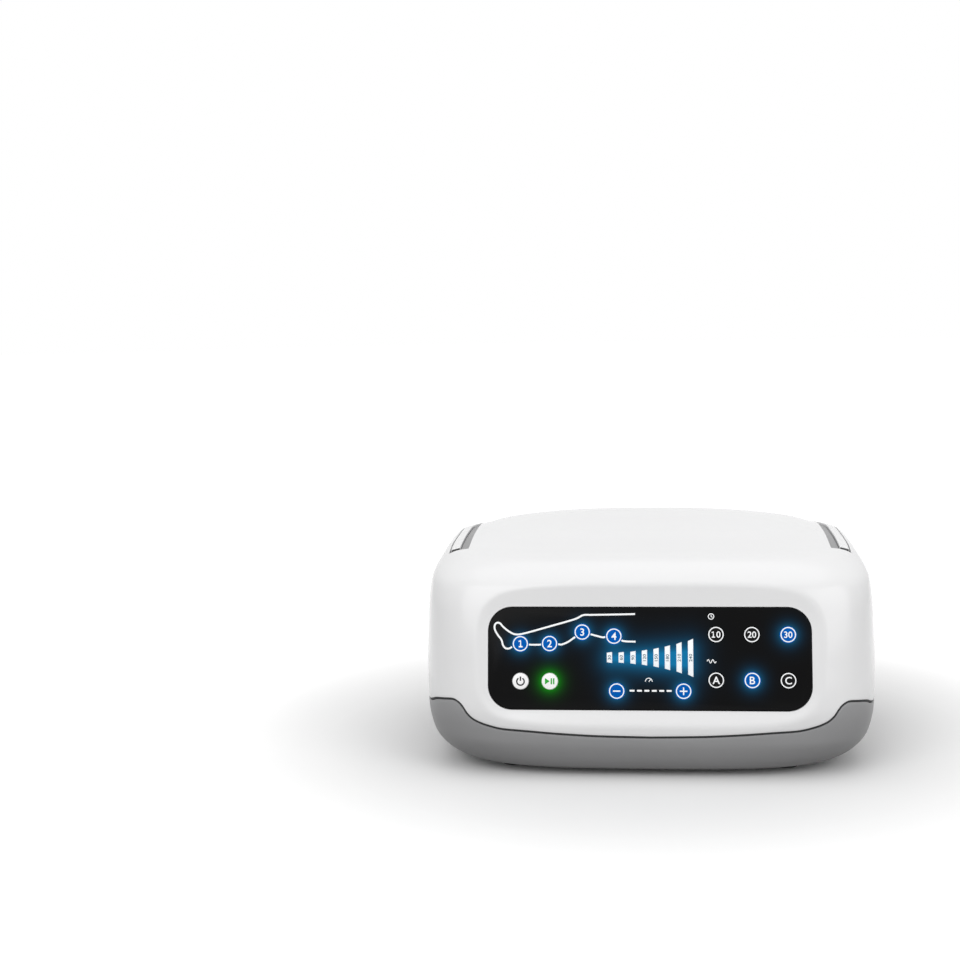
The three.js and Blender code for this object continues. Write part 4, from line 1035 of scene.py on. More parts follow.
@dataclass(frozen=True)
class Finish:
    """One finish: a principled surface with a drifting colour and a fine grain."""

    name: str
    colour: Point3
    roughness: float = 0.4
    spread: float = 0.05
    drift: float = 0.02
    drift_scale: float = 18.0
    grain_scale: float = 900.0
    grain_height: float = 0.02
    stretch: Point3 = (1.0, 1.0, 1.0)
    metallic: float = 0.0
    specular: float = 0.5
    coat: float = 0.0
    coat_roughness: float = 0.08

    def material(self, effects: Effects) -> Material:
        """Builds the material.

        Args:
            effects: The shared effects.

        Returns:
            The new material.
        """
        made = bpy.data.materials.new(self.name)
        made.use_nodes = True
        sheet = Sheet(made.node_tree)
        shader = self.shader(sheet, effects)
        sheet.node("OutputMaterial", {"Surface": shader.outputs[0]})
        made.diffuse_color = (*self.colour, 1.0)
        return made

    def shader(self, sheet: Sheet, effects: Effects) -> Node:
        """Joins the shared effects to a principled shader.

        Args:
            sheet: The node tree being built.
            effects: The shared node groups.

        Returns:
            The node whose shader the surface takes.
        """
        tone = sheet.effect(
            effects.drift, {"Colour": (*self.colour, 1.0), "Amount": self.drift, "Scale": self.drift_scale}
        )
        surface = sheet.effect(
            effects.moulding,
            {
                "Scale": self.grain_scale, "Height": self.grain_height * MM, "Roughness": self.roughness,
                "Spread": self.spread, "Stretch": self.stretch,
            },
        )
        return sheet.node(
            "BsdfPrincipled",
            {
                "Base Color": tone.outputs["Colour"], "Roughness": surface.outputs["Roughness"],
                "Normal": surface.outputs["Normal"], "Metallic": self.metallic,
                "Specular IOR Level": self.specular, "Coat Weight": self.coat,
                "Coat Roughness": self.coat_roughness,
            },
        )


@dataclass(frozen=True)
class PanelFinish(Finish):
    """Glossy dark panel with soft light spilling from the lit keys and bars."""

    blue_keys: tuple[Point2, ...] = ()
    green_keys: tuple[Point2, ...] = ()
    blue_light: Point3 = (0.0, 0.165, 0.37)
    green_light: Point3 = (0.0, 0.2, 0.0)
    key_share: float = 0.4
    glow: float = 1.0

    @staticmethod
    def spot(sheet: Sheet, effects: Effects, place: object, centre: Point2) -> NodeSocket:
        """The light round one key."""
        middle = (centre[0] * MM, centre[1] * MM, 0.0)
        return sheet.effect(effects.spot, {"Place": place, "Centre": middle}).outputs[0]

    def shader(self, sheet: Sheet, effects: Effects) -> Node:
        """Adds the spill of light to the plain panel.

        Args:
            sheet: The node tree being built.
            effects: The shared node groups.

        Returns:
            The node whose shader the surface takes.
        """
        shader = Finish.shader(self, sheet, effects)
        origin = Vector(effects.place.origin) * MM
        turn = (math.pi / 2 - math.radians(effects.place.tilt), 0.0, 0.0)
        place = sheet.node(
            "Mapping",
            {"Vector": sheet.node("TexCoord").outputs["Object"], "Location": origin, "Rotation": turn},
            vector_type="TEXTURE",
        ).outputs[0]
        blue = sheet.effect(effects.wedge, {"Place": place}).outputs[0]
        for centre in self.blue_keys:
            spot = self.spot(sheet, effects, place, centre)
            blue = sheet.sum_up("MULTIPLY_ADD", spot, self.key_share, blue)
        lit = sheet.scaled(self.blue_light, sheet.sum_up("MINIMUM", blue, 1.0))
        for centre in self.green_keys:
            other = sheet.scaled(self.green_light, self.spot(sheet, effects, place, centre))
            lit = sheet.node("VectorMath", {0: lit, 1: other}, operation="ADD").outputs[0]
        return sheet.fill(shader, {"Emission Color": lit, "Emission Strength": self.glow})


@dataclass(frozen=True)
class LitFinish(Finish):
    """A surface that gives off light of its own, a little brighter in broad patches: the caps, bars and marks
    lit from behind, and painted glow on the white ink.
    """

    light: Point3 = (0.0, 0.1, 0.55)

    def shader(self, sheet: Sheet, effects: Effects) -> Node:
        """Adds the light that the surface gives off.

        Args:
            sheet: The node tree being built.
            effects: The shared node groups.

        Returns:
            The node whose shader the surface takes.
        """
        shader = Finish.shader(self, sheet, effects)
        tone = sheet.effect(effects.drift, {"Colour": (*self.light, 1.0), "Amount": 0.08, "Scale": 120.0})
        return sheet.fill(shader, {"Emission Color": tone.outputs["Colour"], "Emission Strength": 1.0})


@dataclass(frozen=True)
class ClearFinish(Finish):
    """Soft clear plastic, such as an air hose."""

    def shader(self, sheet: Sheet, effects: Effects) -> Node:
        """Makes the plain finish see-through."""
        return sheet.fill(Finish.shader(self, sheet, effects), {"Transmission Weight": 0.85, "IOR": 1.45})


@dataclass(frozen=True)
class BoardFinish(Finish):
    """Green circuit board with fine copper traces under its lacquer."""

    trace_colour: Point3 = (0.03, 0.16, 0.05)
    cell_scale: float = 260.0
    trace_pitch: float = 0.12
    trace_width: float = 0.03

    def shader(self, sheet: Sheet, effects: Effects) -> Node:
        """Draws the traces as thin steps in a stepped pattern.

        Args:
            sheet: The node tree being built.
            effects: The shared node groups.

        Returns:
            The node whose shader the surface takes.
        """
        shader = Finish.shader(self, sheet, effects)
        place = sheet.node("TexCoord").outputs["Object"]
        cells = sheet.node(
            "TexVoronoi", {"Vector": place, "Scale": self.cell_scale}, distance="MANHATTAN", feature="F1"
        ).outputs["Distance"]
        steps = sheet.sum_up("PINGPONG", cells, self.trace_pitch)
        line = sheet.sum_up("LESS_THAN", steps, self.trace_width)
        tone = shader.inputs["Base Color"].links[0].from_socket
        mixed = sheet.node("Mix", {"Factor": line, 6: tone, 7: (*self.trace_colour, 1.0)}, data_type="RGBA")
        return sheet.fill(shader, {"Base Color": mixed.outputs[2]})


class Slot(Enum):
    """The record's material slots."""

    WHITE = "white_housing"
    BASE = "gray_base"
    STRIP = "gray_strip"
    PANEL = "black_panel"
    RUBBER = "black_rubber"
    KEY_BLUE = "key_blue"
    KEY_BLACK = "key_black"
    KEY_WHITE = "key_white"
    GUIDE = "light_guide"
    MAT = "key_mat"
    BOARD = "board_green"
    PLASTIC = "black_plastic"
    STEEL = "steel"
    ALUMINIUM = "aluminium"
    BRASS = "brass"
    HOSE = "clear_hose"


# Sub-assemblies


@dataclass(frozen=True)
class Housing:
    """Top cover, base shell and the rubber seal between them."""

    form: HousingForm
    panel: PanelPlace
    channel: "Channel"
    wall: float = 2.5
    seam_gap: float = 1.2
    lip: float = 0.45
    fit: float = 0.3
    front_columns: int = 146
    back_columns: int = 92
    ring_insets: Point2 = (4.0, 8.0)
    cover_floor: float = 60.0
    base_ceiling: float = 20.0
    base_pitch: float = 1.4
    row_pitch: float = 1.3
    dome_pitch: float = 2.8
    dome_start: float = 128.0
    bed_back: float = -6.6
    bed_margin: float = 4.0
    ramp_reach: float = 12.0
    pocket_depth: float = 3.3
    pocket_front: float = 0.6
    panel_lip: float = 4.0
    foot_places: tuple[Point2, ...] = ((-78.0, -62.0), (78.0, -62.0), (-78.0, 62.0), (78.0, 62.0))
    foot_seat: Point2 = (8.3, 4.0)
    head_seat: Point2 = (3.4, 10.0)
    screw_hole: float = 1.8
    screw_reach: float = 12.0
    column_radius: float = 5.0
    column_top: float = 34.0
    post_radius: float = 3.0
    post_top: float = 12.0
    # Each post's place, and how much higher its root lies where the wall is rounded.
    posts: tuple[Point3, ...] = (
        (-100.0, -40.0, 0.0), (-100.0, 34.0, 0.0), (-41.8, -40.0, 0.0), (-41.8, 34.0, 0.0),
        (88.0, -34.0, 0.0), (88.0, 34.0, 0.0), (106.0, -34.0, 1.6), (106.0, 34.0, 1.6),
    )
    # Each rib's half width, front, back and top.
    rib: tuple[float, float, float, float] = (3.0, 60.0, 78.0, 15.7)
    rib_places: Point2 = (-46.0, 46.0)
    outlet_x: float = 35.1
    outlet_z: float = 72.02
    outlet_size: Point2 = (50.6, 20.6)
    inlet_centre: Point2 = (44.2, 26.495)
    inlet_size: Point2 = (26.6, 16.6)
    vent_centre: float = -53.95
    vent_pitch: float = 6.0
    vent_count: int = 8
    vent_heights: Point2 = (12.0, 28.0)
    vent_width: float = 3.0
    cover_back: float = 80.39
    inlet_back: float = 79.8
    vent_back: float = 82.0
    far_back: float = 140.0
    opening_corner: float = 2.3
    bead: tuple[Point2, ...] = ((2.3, 0.56), (0.95, 0.56), (0.6, 0.4))
    bead_tip: float = 0.5

    def seam_place(self, grid: np.ndarray, offset: float) -> np.ndarray:
        """Where each column of a skin grid meets the parting line, moved up by an offset.

        Args:
            grid: The skin grid.
            offset: Distance above the line, or below it where negative.

        Returns:
            A place between the rings for each column.
        """
        x, y, z = grid[..., 0], grid[..., 1], grid[..., 2]
        step = 0.5
        slope = (self.form.seam_z(x + step, y) - self.form.seam_z(x - step, y)) / (2 * step)
        over = z - self.form.seam_z(x, y) - offset * np.sqrt(1 + slope**2)
        above = np.argmax(over > 0, axis=0)
        column = np.arange(grid.shape[1])
        high, low = over[above, column], over[above - 1, column]
        return above - 1 - low / (high - low)

    @staticmethod
    def read(grid: np.ndarray, places: np.ndarray) -> np.ndarray:
        """Points of a skin grid at places between its rings, column by column.

        Args:
            grid: The skin grid.
            places: A row of places for each new ring.

        Returns:
            The grid of the new rings.
        """
        low = np.clip(places.astype(int), 0, len(grid) - 2)
        share = (places - low)[..., None]
        column = np.arange(grid.shape[1])
        return grid[low, column] * (1 - share) + grid[low + 1, column] * share

    @staticmethod
    def moved_in(ring: np.ndarray, inset: float, z: float | None = None, rise: float = 0.0) -> np.ndarray:
        """A ring moved inwards in plan, and up or to a height.

        Args:
            ring: Points of the ring.
            inset: How far it moves inwards.
            z: Its new height, or None to keep its own.
            rise: How far it moves up where z is None.

        Returns:
            The new ring.
        """
        made = ring.copy()
        made[:, :2] -= outward(ring[:, :2]) * inset
        made[:, 2] = z if z is not None else made[:, 2] + rise
        return made

    def lips(self, edge: np.ndarray, way: int) -> list[np.ndarray]:
        """Rings of the rounded lip beside the seam, from its edge up (1) or down (-1) the wall.

        Args:
            edge: The ring at the lip's edge.
            way: 1 for up the wall, -1 for down.

        Returns:
            The rings, from the edge on.
        """
        turns = (0.0, math.pi / 6, math.pi / 3)
        steps = [(self.lip * (1 - math.sin(turn)), way * self.lip * (1 - math.cos(turn))) for turn in turns]
        return [self.moved_in(edge, inset, rise=rise) for inset, rise in steps]

    def cover_skin(self) -> Object:
        """The outside of the cover, with its hollow and its rounded lip, closed below.

        Returns:
            A closed body.
        """
        grid = self.form.grid(self.front_columns, self.back_columns)
        start = self.seam_place(grid, self.seam_gap / 2 + self.lip)
        last = len(grid) - 1.0
        heights = self.form.profile[0]
        places, step = [0.0], float(np.mean(start))
        while step < last:
            pitch = self.row_pitch if heights[int(step)] < self.dome_start else self.dome_pitch
            step += pitch / self.form.sampling
            places.append(min(step, last) - float(np.mean(start)))
        share = np.array(places[:-1]) / (last - float(np.mean(start)))
        rows = self.panel.sunk(self.read(grid, start + (last - start) * share[:, None]))
        edge = self.read(grid, self.seam_place(grid, self.seam_gap / 2)[None])[0]
        near, far = self.ring_insets
        inner = [self.moved_in(edge, far, z=self.cover_floor), self.moved_in(edge, near)]
        tip = (0.0, float(grid[-1, 0, 1]), float(heights[-1]))
        return Mesh.rings("top_cover_shell", [*inner, *self.lips(edge, 1), *rows], tip)

    def base_skin(self) -> Object:
        """The outside of the base with its rounded lip, closed above.

        Returns:
            A closed body.
        """
        grid = self.form.grid(self.front_columns, self.back_columns)
        end = self.seam_place(grid, -self.seam_gap / 2 - self.lip)
        count = int(float(np.mean(end)) * self.form.sampling / self.base_pitch)
        rows = self.read(grid, end * np.linspace(0.0, 1.0, count)[:, None])
        edge = self.read(grid, self.seam_place(grid, -self.seam_gap / 2)[None])[0]
        near, far = self.ring_insets
        inner = [self.moved_in(edge, near), self.moved_in(edge, far, z=self.base_ceiling)]
        return Mesh.rings("base_shell_body", [*rows, *reversed(self.lips(edge, -1)), *inner])

    def cavity(self, name: str) -> Object:
        """The space inside the walls.

        Args:
            name: The body's name.

        Returns:
            A closed body to cut with.
        """
        grid = self.form.grid(36, 24, self.wall)
        places = np.arange(0, len(grid) - 4, 7)
        tip = (0.0, float(grid[-1, 0, 1]), float(grid[-1, 0, 2]))
        return Mesh.rings(name, list(grid[places]), tip)

    def bed_block(self) -> Object:
        """What stays solid behind the panel's hollow.

        Returns:
            A closed body to take from the cavity.
        """
        half_w, half_h = self.panel.half_width + self.bed_margin, self.panel.half_height + self.bed_margin
        radius = self.panel.corner + self.bed_margin
        corners = ((half_w, half_h), (-half_w, half_h), (-half_w, -half_h), (half_w, -half_h))
        outline = filleted([(*corner, radius) for corner in corners], 4.0)
        way = outward(outline)
        climb = np.where(way[:, 1] > 0, self.panel.top_ratio, self.panel.bottom_ratio)
        spread = np.stack([way[:, 0] * self.panel.side_ratio, way[:, 1] * climb], axis=1) * self.ramp_reach
        low = np.column_stack([outline, np.full(len(outline), self.bed_back)])
        high = np.column_stack([outline + spread, np.full(len(outline), self.bed_back + self.ramp_reach)])
        block = Mesh.rings("bed_block", [low, high])
        block.data.transform(self.panel.matrix)
        return block

    def socket(self, centre: Point2, size: Point2, start: float, corner: float) -> Object:
        """A cutter for an opening in the back, from a place inside to far behind the pump.

        Args:
            centre: Its middle (x, z).
            size: Its width and height.
            start: Where it starts inside, along Y.
            corner: Radius of its corners.

        Returns:
            The cutter.
        """
        x, z = centre
        half_w, half_h = size[0] / 2, size[1] / 2
        low, high = (x - half_w, start, z - half_h), (x + half_w, self.far_back, z + half_h)
        return Mesh.plate("socket", low, high, Axis.Y, corner, segments=6)

    def build(self, dresser: "Dresser") -> None:
        """Makes and dresses the cover, the base and the seal.

        Args:
            dresser: Gives the pieces their finishes, bodies and nodes.
        """
        dresser.dress(self.cover(), Slot.WHITE, "housing", "top_cover")
        dresser.dress(self.base(), Slot.BASE, "housing", "base_shell")
        dresser.dress(self.seal(), Slot.RUBBER, "housing", "housing_seal")

    def cover(self) -> Object:
        """Makes the top cover, with the handle's channel cut into its roof.

        Returns:
            The cover.
        """
        cover, cavity = self.cover_skin(), self.cavity("cover_cavity")
        columns = Mesh.merged("columns", [
            Mesh.rod("column", Axis.Z, self.column_radius, place, self.column_top + self.fit, 170.0, 20)
            for place in self.foot_places
        ])
        for body in (self.bed_block(), self.channel.trough(), columns):
            Mesh.combine(cavity, body)
        Mesh.combine(cover, cavity)
        place = self.panel
        wide, tall = place.half_width + self.fit, place.half_height + self.fit
        low, high = (-wide, -tall, -self.pocket_depth), (wide, tall, self.pocket_front)
        pocket = Mesh.plate("pocket", low, high, Axis.Z, place.corner + self.fit, segments=16)
        wide, tall = place.half_width - self.panel_lip, place.half_height - self.panel_lip
        low, high = (-wide, -tall, self.bed_back - CUT), (wide, tall, 0.0)
        window = Mesh.plate("window", low, high, Axis.Z, place.corner - self.panel_lip)
        for body in (pocket, window):
            body.data.transform(place.matrix)
        low, high = self.column_top - CUT, self.column_top + self.screw_reach
        holes = [
            Mesh.rod("hole", Axis.Z, self.screw_hole, spot, low, high, 20)
            for spot in self.foot_places
        ]
        sockets = []
        for side in (-1, 1):
            centre = side * self.outlet_x, self.outlet_z
            sockets.append(self.socket(centre, self.outlet_size, self.cover_back, self.opening_corner))
        cuts = [pocket, window, self.channel.cutter("cover_channel", 0.3, 0.0, 0.25)]
        cuts.append(Mesh.merged("holes", [*holes, *sockets, *self.channel.pin_holes()]))
        for body in cuts:
            Mesh.combine(cover, body)
        return cover

    def base(self) -> Object:
        """Makes the base shell with its columns, posts, foot seats and back openings.

        Returns:
            The base shell.
        """
        base = self.base_skin()
        Mesh.combine(base, self.cavity("base_cavity"))
        rooted = self.form.low + self.wall - CUT
        stands = [
            Mesh.rod("column", Axis.Z, self.column_radius, place, rooted, self.column_top, 28)
            for place in self.foot_places
        ]
        for x, y, rise in self.posts:
            low = rooted + rise
            stands.append(Mesh.rod("post", Axis.Z, self.post_radius, (x, y), low, self.post_top, 20))
        wide, front, back, top = self.rib
        for x in self.rib_places:
            stands.append(Mesh.block("rib", (x - wide, front, rooted), (x + wide, back, top)))
        Mesh.combine(base, Mesh.merged("stands", stands), "UNION")
        (radius, top), (head, head_top) = self.foot_seat, self.head_seat
        hole, end = self.screw_hole, self.column_top + 2
        seat = Mesh.turned("seat", [
            (0, -CUT), (radius, -CUT), (radius, top), (head, top), (head, head_top), (hole, head_top),
            (hole, end), (0, end),
        ])
        cuts = [Mesh.copied(seat, "seat", (*place, 0.0)) for place in self.foot_places]
        bpy.data.objects.remove(seat)
        cuts.append(self.socket(self.inlet_centre, self.inlet_size, self.inlet_back, self.opening_corner))
        low, high = self.vent_heights
        size = self.vent_width, high - low
        for i in range(self.vent_count):
            x = self.vent_centre + (i - (self.vent_count - 1) / 2) * self.vent_pitch
            cuts.append(self.socket((x, (low + high) / 2), size, self.vent_back, 1.45))
        Mesh.combine(base, Mesh.merged("cuts", cuts))
        return base

    def seal(self) -> Object:
        """Makes the rubber bead that fills the groove between cover and base.

        Returns:
            The bead.
        """
        grid = self.form.grid(self.front_columns, self.back_columns)
        under = [(inset, -offset) for inset, offset in self.bead]
        section = [*under, (self.bead_tip, 0.0), *reversed(self.bead)]
        rings = []
        for inset, offset in section:
            rings.append(self.moved_in(self.read(grid, self.seam_place(grid, offset)[None])[0], inset))
        band = Mesh.rings("housing_seal_bead", [*rings, rings[0]])
        with Mesh.editing(band) as mesh:
            for face in mesh.faces:
                face.select_set(len(face.verts) > 4)
            bmesh.update_edit_mesh(band.data)
            bpy.ops.mesh.delete(type="ONLY_FACE")
            bpy.ops.mesh.select_all(action="SELECT")
            bpy.ops.mesh.remove_doubles(threshold=1e-7)
        return band


@dataclass(frozen=True)
class Channel:
    """The channel in the roof that the handle lies in, and the strip that lines it."""

    form: HousingForm
    half_width: float = 116.5
    back: float = 87.0
    corner: float = 50.0
    inner_half_width: float = 111.1
    inner_back: float = 76.5
    inner_corner: float = 42.05
    bottom: float = 113.002
    gap: float = 0.4
    strip: float = 4.8
    strip_drop: float = 1.5
    floor: float = 2.0
    slot_front: float = -41.0
    well_half_width: float = 44.0
    well_length: float = 19.0
    fit: float = 0.3
    sky: float = 178.0
    front_lip: float = 9.0
    lip_end: Point2 = (1.34, -0.12)
    pivot: Point2 = (-32.5, 117.902)
    pin_hole: float = 1.8
    pin_reach: Point2 = (105.75, 119.55)

    def outline(self, outwards: float, inwards: float, front: float, spacing: float = 1.8) -> np.ndarray:
        """The channel in plan, grown outwards and inwards.

        Args:
            outwards: Growth beyond the handle's outer side.
            inwards: Growth beyond the handle's inner side.
            front: Place of the two front ends.
            spacing: Greatest distance between two points.

        Returns:
            The outline's points, anticlockwise.
        """
        wide, back = self.half_width + outwards, self.back + outwards
        narrow, near = self.inner_half_width - inwards, self.inner_back - inwards
        well, well_front = self.well_half_width + inwards, self.inner_back - self.well_length - inwards
        right = [(narrow, front, 0.6), (wide, front, 0.6), (wide, back, self.corner + outwards)]
        bend = [(-narrow, near, self.inner_corner - inwards), (-well, near, 4.0), (-well, well_front, 4.5)]
        left = [(-wide, back, self.corner + outwards), (-wide, front, 0.6), (-narrow, front, 0.6)]
        bend += [(well, well_front, 4.5), (well, near, 4.0), (narrow, near, self.inner_corner - inwards)]
        return filleted([*right, *left, *bend], spacing)

    def trough(self) -> Object:
        """What stays solid under the channel.

        Returns:
            A closed body to take from the cavity.
        """
        grow = self.fit + 2.5
        outline = self.outline(self.gap + grow, self.gap + self.strip + grow, self.slot_front - grow, 4.0)
        return Mesh.prism("trough", outline, self.bottom - self.gap - self.floor - grow, self.sky)

    def cutter(
        self, name: str, growth: float, drop: float, edge: float, inner: bool = False
    ) -> Object:
        """A cutter for the channel that rounds over the edge where it leaves the skin.

        Args:
            name: The cutter's name.
            growth: Growth on all sides.
            drop: How far the skin to cut lies below the outer skin.
            edge: Radius of the rounded edge.
            inner: Cuts only the handle's room, not the strip beside it.

        Returns:
            The cutter.
        """
        inwards = self.gap if inner else self.gap + self.strip + growth
        outwards = self.gap + (1.0 if inner else growth)
        front = self.slot_front - (2.0 if inner else growth)
        low = self.bottom - self.gap - (0.0 if inner else self.floor + growth)
        outline = self.outline(outwards, inwards, front)
        way = outward(outline)
        rings = [np.column_stack([outline, np.full(len(outline), low)])]
        ends = (way[:, 1] < -0.9) & (outline[:, 1] < self.slot_front + 1.0)
        lip = np.where(ends, self.front_lip, 1.0) * edge
        lip = lip if growth > 0 else np.full(len(way), edge)
        turns = [math.radians(angle) for angle in (0, 25, 50, 75)]
        for spread, depth in [*((1 - math.cos(t), 1 - math.sin(t)) for t in turns), self.lip_end]:
            spots = outline + way * (lip * spread)[:, None]
            top = self.form.top_z(spots[:, 0], spots[:, 1]) - drop - lip * depth
            rings.append(np.column_stack([spots, np.maximum(top, low + 0.5)]))
        sky = rings[-1].copy()
        sky[:, 2] = self.sky
        return Mesh.rings(name, [*rings, sky])

    def pin_holes(self) -> list[Object]:
        """Cutters for the two pivot holes.

        Returns:
            The two cutters.
        """
        holes = []
        for side in (-1, 1):
            low, high = sorted(side * place for place in self.pin_reach)
            holes.append(Mesh.rod("pin_hole", Axis.X, self.pin_hole, self.pivot, low, high, 24))
        return holes

    def build(self, dresser: "Dresser") -> None:
        """Makes and dresses the channel's liner."""
        dresser.dress(self.tray(), Slot.STRIP, "housing", "handle_tray")

    def tray(self) -> Object:
        """Makes the strip and floor that line the channel.

        Returns:
            The liner.
        """
        outline = self.outline(self.gap, self.gap + self.strip, self.slot_front)
        low = self.bottom - self.gap - self.floor
        tray = Mesh.prism("handle_tray_liner", outline, low, self.sky)
        grid = self.form.grid(110, 80)
        start = int(np.argmax(grid[:, 0, 2] > 96))
        places = np.append(np.arange(start, len(grid) - 6, 4), len(grid) - 6)
        lowered = grid[places] - np.array([0, 0, self.strip_drop])
        tip = (0.0, float(grid[-1, 0, 1]), float(grid[-1, 0, 2]) - self.strip_drop)
        Mesh.combine(tray, Mesh.rings("lowered_skin", list(lowered), tip), "INTERSECT")
        Mesh.combine(tray, self.cutter("tray_channel", 0.0, self.strip_drop, 0.35, inner=True))
        Mesh.combine(tray, Mesh.merged("pin_holes", self.pin_holes()))
        return tray


@dataclass(frozen=True)
class CarryHandle:
    """The swinging handle with its two pins."""

    form: HousingForm
    channel: Channel
    end_radius: float = 4.7
    top_edge: float = 0.5
    low_edge: float = 0.7
    front_edge: float = 0.5
    pin_radius: float = 1.5
    pin_ends: Point2 = (106.3, 119.0)
    front_steps: tuple[float, ...] = (0.0, 0.06, 0.18, 0.36, 0.7, 1.2, 2.0, 3.2, 4.7, 6.2, 8.0)
    side_steps: int = 36
    bend_steps: int = 30
    back_steps: int = 20
    # Inset and depth of the thin dark sheets of painted shade on the arms' front ends.
    shade_sheet_inset: float = 0.3
    shade_sheet_depth: Point2 = (-0.06, 0.3)

    def build(self, dresser: "Dresser") -> None:
        """Makes and dresses the handle, the thin dark sheets of painted shade on its arms' front ends, and
        its pins.

        Args:
            dresser: Gives the pieces their finishes, bodies and nodes.
        """
        dresser.dress(self.handle(), Slot.WHITE, "handle", "carry_handle")
        for side in (-1, 1):
            # Each arm's front end gets a thin dark sheet: painted shade for the shadow in the slot in front
            # of it.
            dresser.dress(self.painted_shade_sheet(side), Slot.STRIP, "handle", ink="end")
        dresser.dress(self.pin(-1), Slot.STEEL, "housing", "handle_pin_left")
        dresser.dress(self.pin(1), Slot.STEEL, "housing", "handle_pin_right")

    def stations(self) -> list[tuple[Point2, Point2]]:
        """Pairs of inner and outer points along the handle, from its right front end to its left.

        Returns:
            The pairs of points (x, y).
        """
        c = self.channel
        front = c.pivot[0] - self.end_radius
        side_end, inner_end = c.back - c.corner, c.inner_back - c.inner_corner
        pairs: list[tuple[Point2, Point2]] = []
        start, parts = self.front_steps[-1], self.side_steps
        far = [start + (side_end - front - start) * k / parts for k in range(1, parts + 1)]
        for run in [*self.front_steps, *far]:
            inner_y = front + (inner_end - front) * (run / (side_end - front))
            pairs.append(((c.inner_half_width, inner_y), (c.half_width, front + run)))
        for k in range(1, self.bend_steps + 1):
            turn = math.pi / 2 * k / self.bend_steps
            across, along = 1 - math.cos(turn), math.sin(turn)
            pairs.append((
                (c.inner_half_width - c.inner_corner * across, inner_end + c.inner_corner * along),
                (c.half_width - c.corner * across, side_end + c.corner * along),
            ))
        for k in range(1, self.back_steps + 1):
            share = 1 - k / self.back_steps
            pairs.append((
                ((c.inner_half_width - c.inner_corner) * share, c.inner_back),
                ((c.half_width - c.corner) * share, c.back),
            ))
        return pairs + [((-a[0], a[1]), (-b[0], b[1])) for a, b in pairs[-2::-1]]

    def section(self, inner: Point2, outer: Point2) -> np.ndarray:
        """One section across the handle, from its inner top round its outer side.

        Args:
            inner: The inner point (x, y).
            outer: The outer point (x, y).

        Returns:
            The points of the section.
        """
        a, b = np.array(inner), np.array(outer)
        width = float(np.linalg.norm(b - a))
        pivot_y, pivot_z = self.channel.pivot
        ahead = float(np.clip(pivot_y - a[1], 0.0, self.end_radius))
        lobe = math.sqrt(max(self.end_radius**2 - ahead**2, 1e-4))
        bottom = max(self.channel.bottom, pivot_z - lobe) if ahead > 0 else self.channel.bottom
        short = max(self.front_edge - (self.end_radius - ahead), 0.0)
        drop = self.front_edge - math.sqrt(self.front_edge**2 - short**2)
        middle = (a + b) / 2
        height = float(self.form.top_z(middle[:1], middle[1:])[0]) - drop - bottom
        top_edge, low_edge = min(self.top_edge, height * 0.4), min(self.low_edge, height * 0.4)
        arc_steps = [math.radians(angle) for angle in (0, 22.5, 45, 67.5, 90)]
        over = [(top_edge * (1 - math.cos(t)), top_edge * (1 - math.sin(t))) for t in arc_steps]
        flat = [(top_edge + (width - 2 * top_edge) * k / 4, 0.0) for k in (1, 2, 3)]
        tops = over + flat + [(width - e, depth) for e, depth in reversed(over)]
        spots = np.array([a + (b - a) * e / width for e, _ in tops])
        heights = self.form.top_z(spots[:, 0], spots[:, 1]) - drop - np.array([d for _, d in tops])
        under = [(low_edge * (1 - math.cos(t)), low_edge * (1 - math.sin(t))) for t in arc_steps[::2]]
        lows = [(width - e, rise) for e, rise in under] + list(reversed(under))
        low_spots = np.array([a + (b - a) * e / width for e, _ in lows])
        low_heights = np.array([bottom + rise for _, rise in lows])
        return np.vstack([np.column_stack([spots, heights]), np.column_stack([low_spots, low_heights])])

    def handle(self) -> Object:
        """Makes the handle.

        Returns:
            The handle.
        """
        rings = [self.section(inner, outer) for inner, outer in self.stations()]
        handle = Mesh.rings("carry_handle_bail", rings)
        with Mesh.editing(handle):
            Mesh.face_out()
        Mesh.combine(handle, Mesh.merged("pin_holes", self.channel.pin_holes()))
        return handle

    def painted_shade_sheet(self, side: int) -> Object:
        """Makes a thin dark sheet on one arm's front end: painted shade for the shadow in the slot in front
        of it.

        Args:
            side: -1 for the left arm, 1 for the right one.

        Returns:
            The sheet of painted shade.
        """
        pivot_y, pivot_z = self.channel.pivot
        front = pivot_y - self.end_radius
        near, far = (front + depth for depth in self.shade_sheet_depth)
        sides = self.channel.inner_half_width + self.shade_sheet_inset, self.channel.half_width - self.shade_sheet_inset
        low, high = sorted(side * place for place in sides)
        foot = pivot_z + 0.5
        name = "handle_end_left_painted_shade" if side < 0 else "handle_end_right_painted_shade"
        face = Mesh.block(name, (low, near, foot), (high, far, self.form.high))
        for vert in face.data.vertices:
            if vert.co.z > (foot + 0.5) * MM:
                top = self.form.top_z(np.array([vert.co.x / MM]), np.array([front]))
                vert.co.z = (float(top[0]) - self.front_edge - 0.1) * MM
        return face

    def pin(self, side: int) -> Object:
        """Makes one pivot pin, with chamfered ends.

        Args:
            side: -1 for the left pin, 1 for the right one.

        Returns:
            The pin.
        """
        low, high = sorted(side * place for place in self.pin_ends)
        name = "handle_pin_left_rod" if side < 0 else "handle_pin_right_rod"
        pin = Mesh.rod(name, Axis.X, self.pin_radius, self.channel.pivot, low, high, 28)
        Mesh.bevel(pin, lambda middle, way: not low + NEAR <= middle[0] <= high - NEAR, 0.3, 2)
        return pin


@dataclass(frozen=True)
class KeyPlan:
    """One key: its name, its place on the panel, its character and how it is lit."""

    name: str
    across: float
    up: float
    mark: str
    slot: Slot


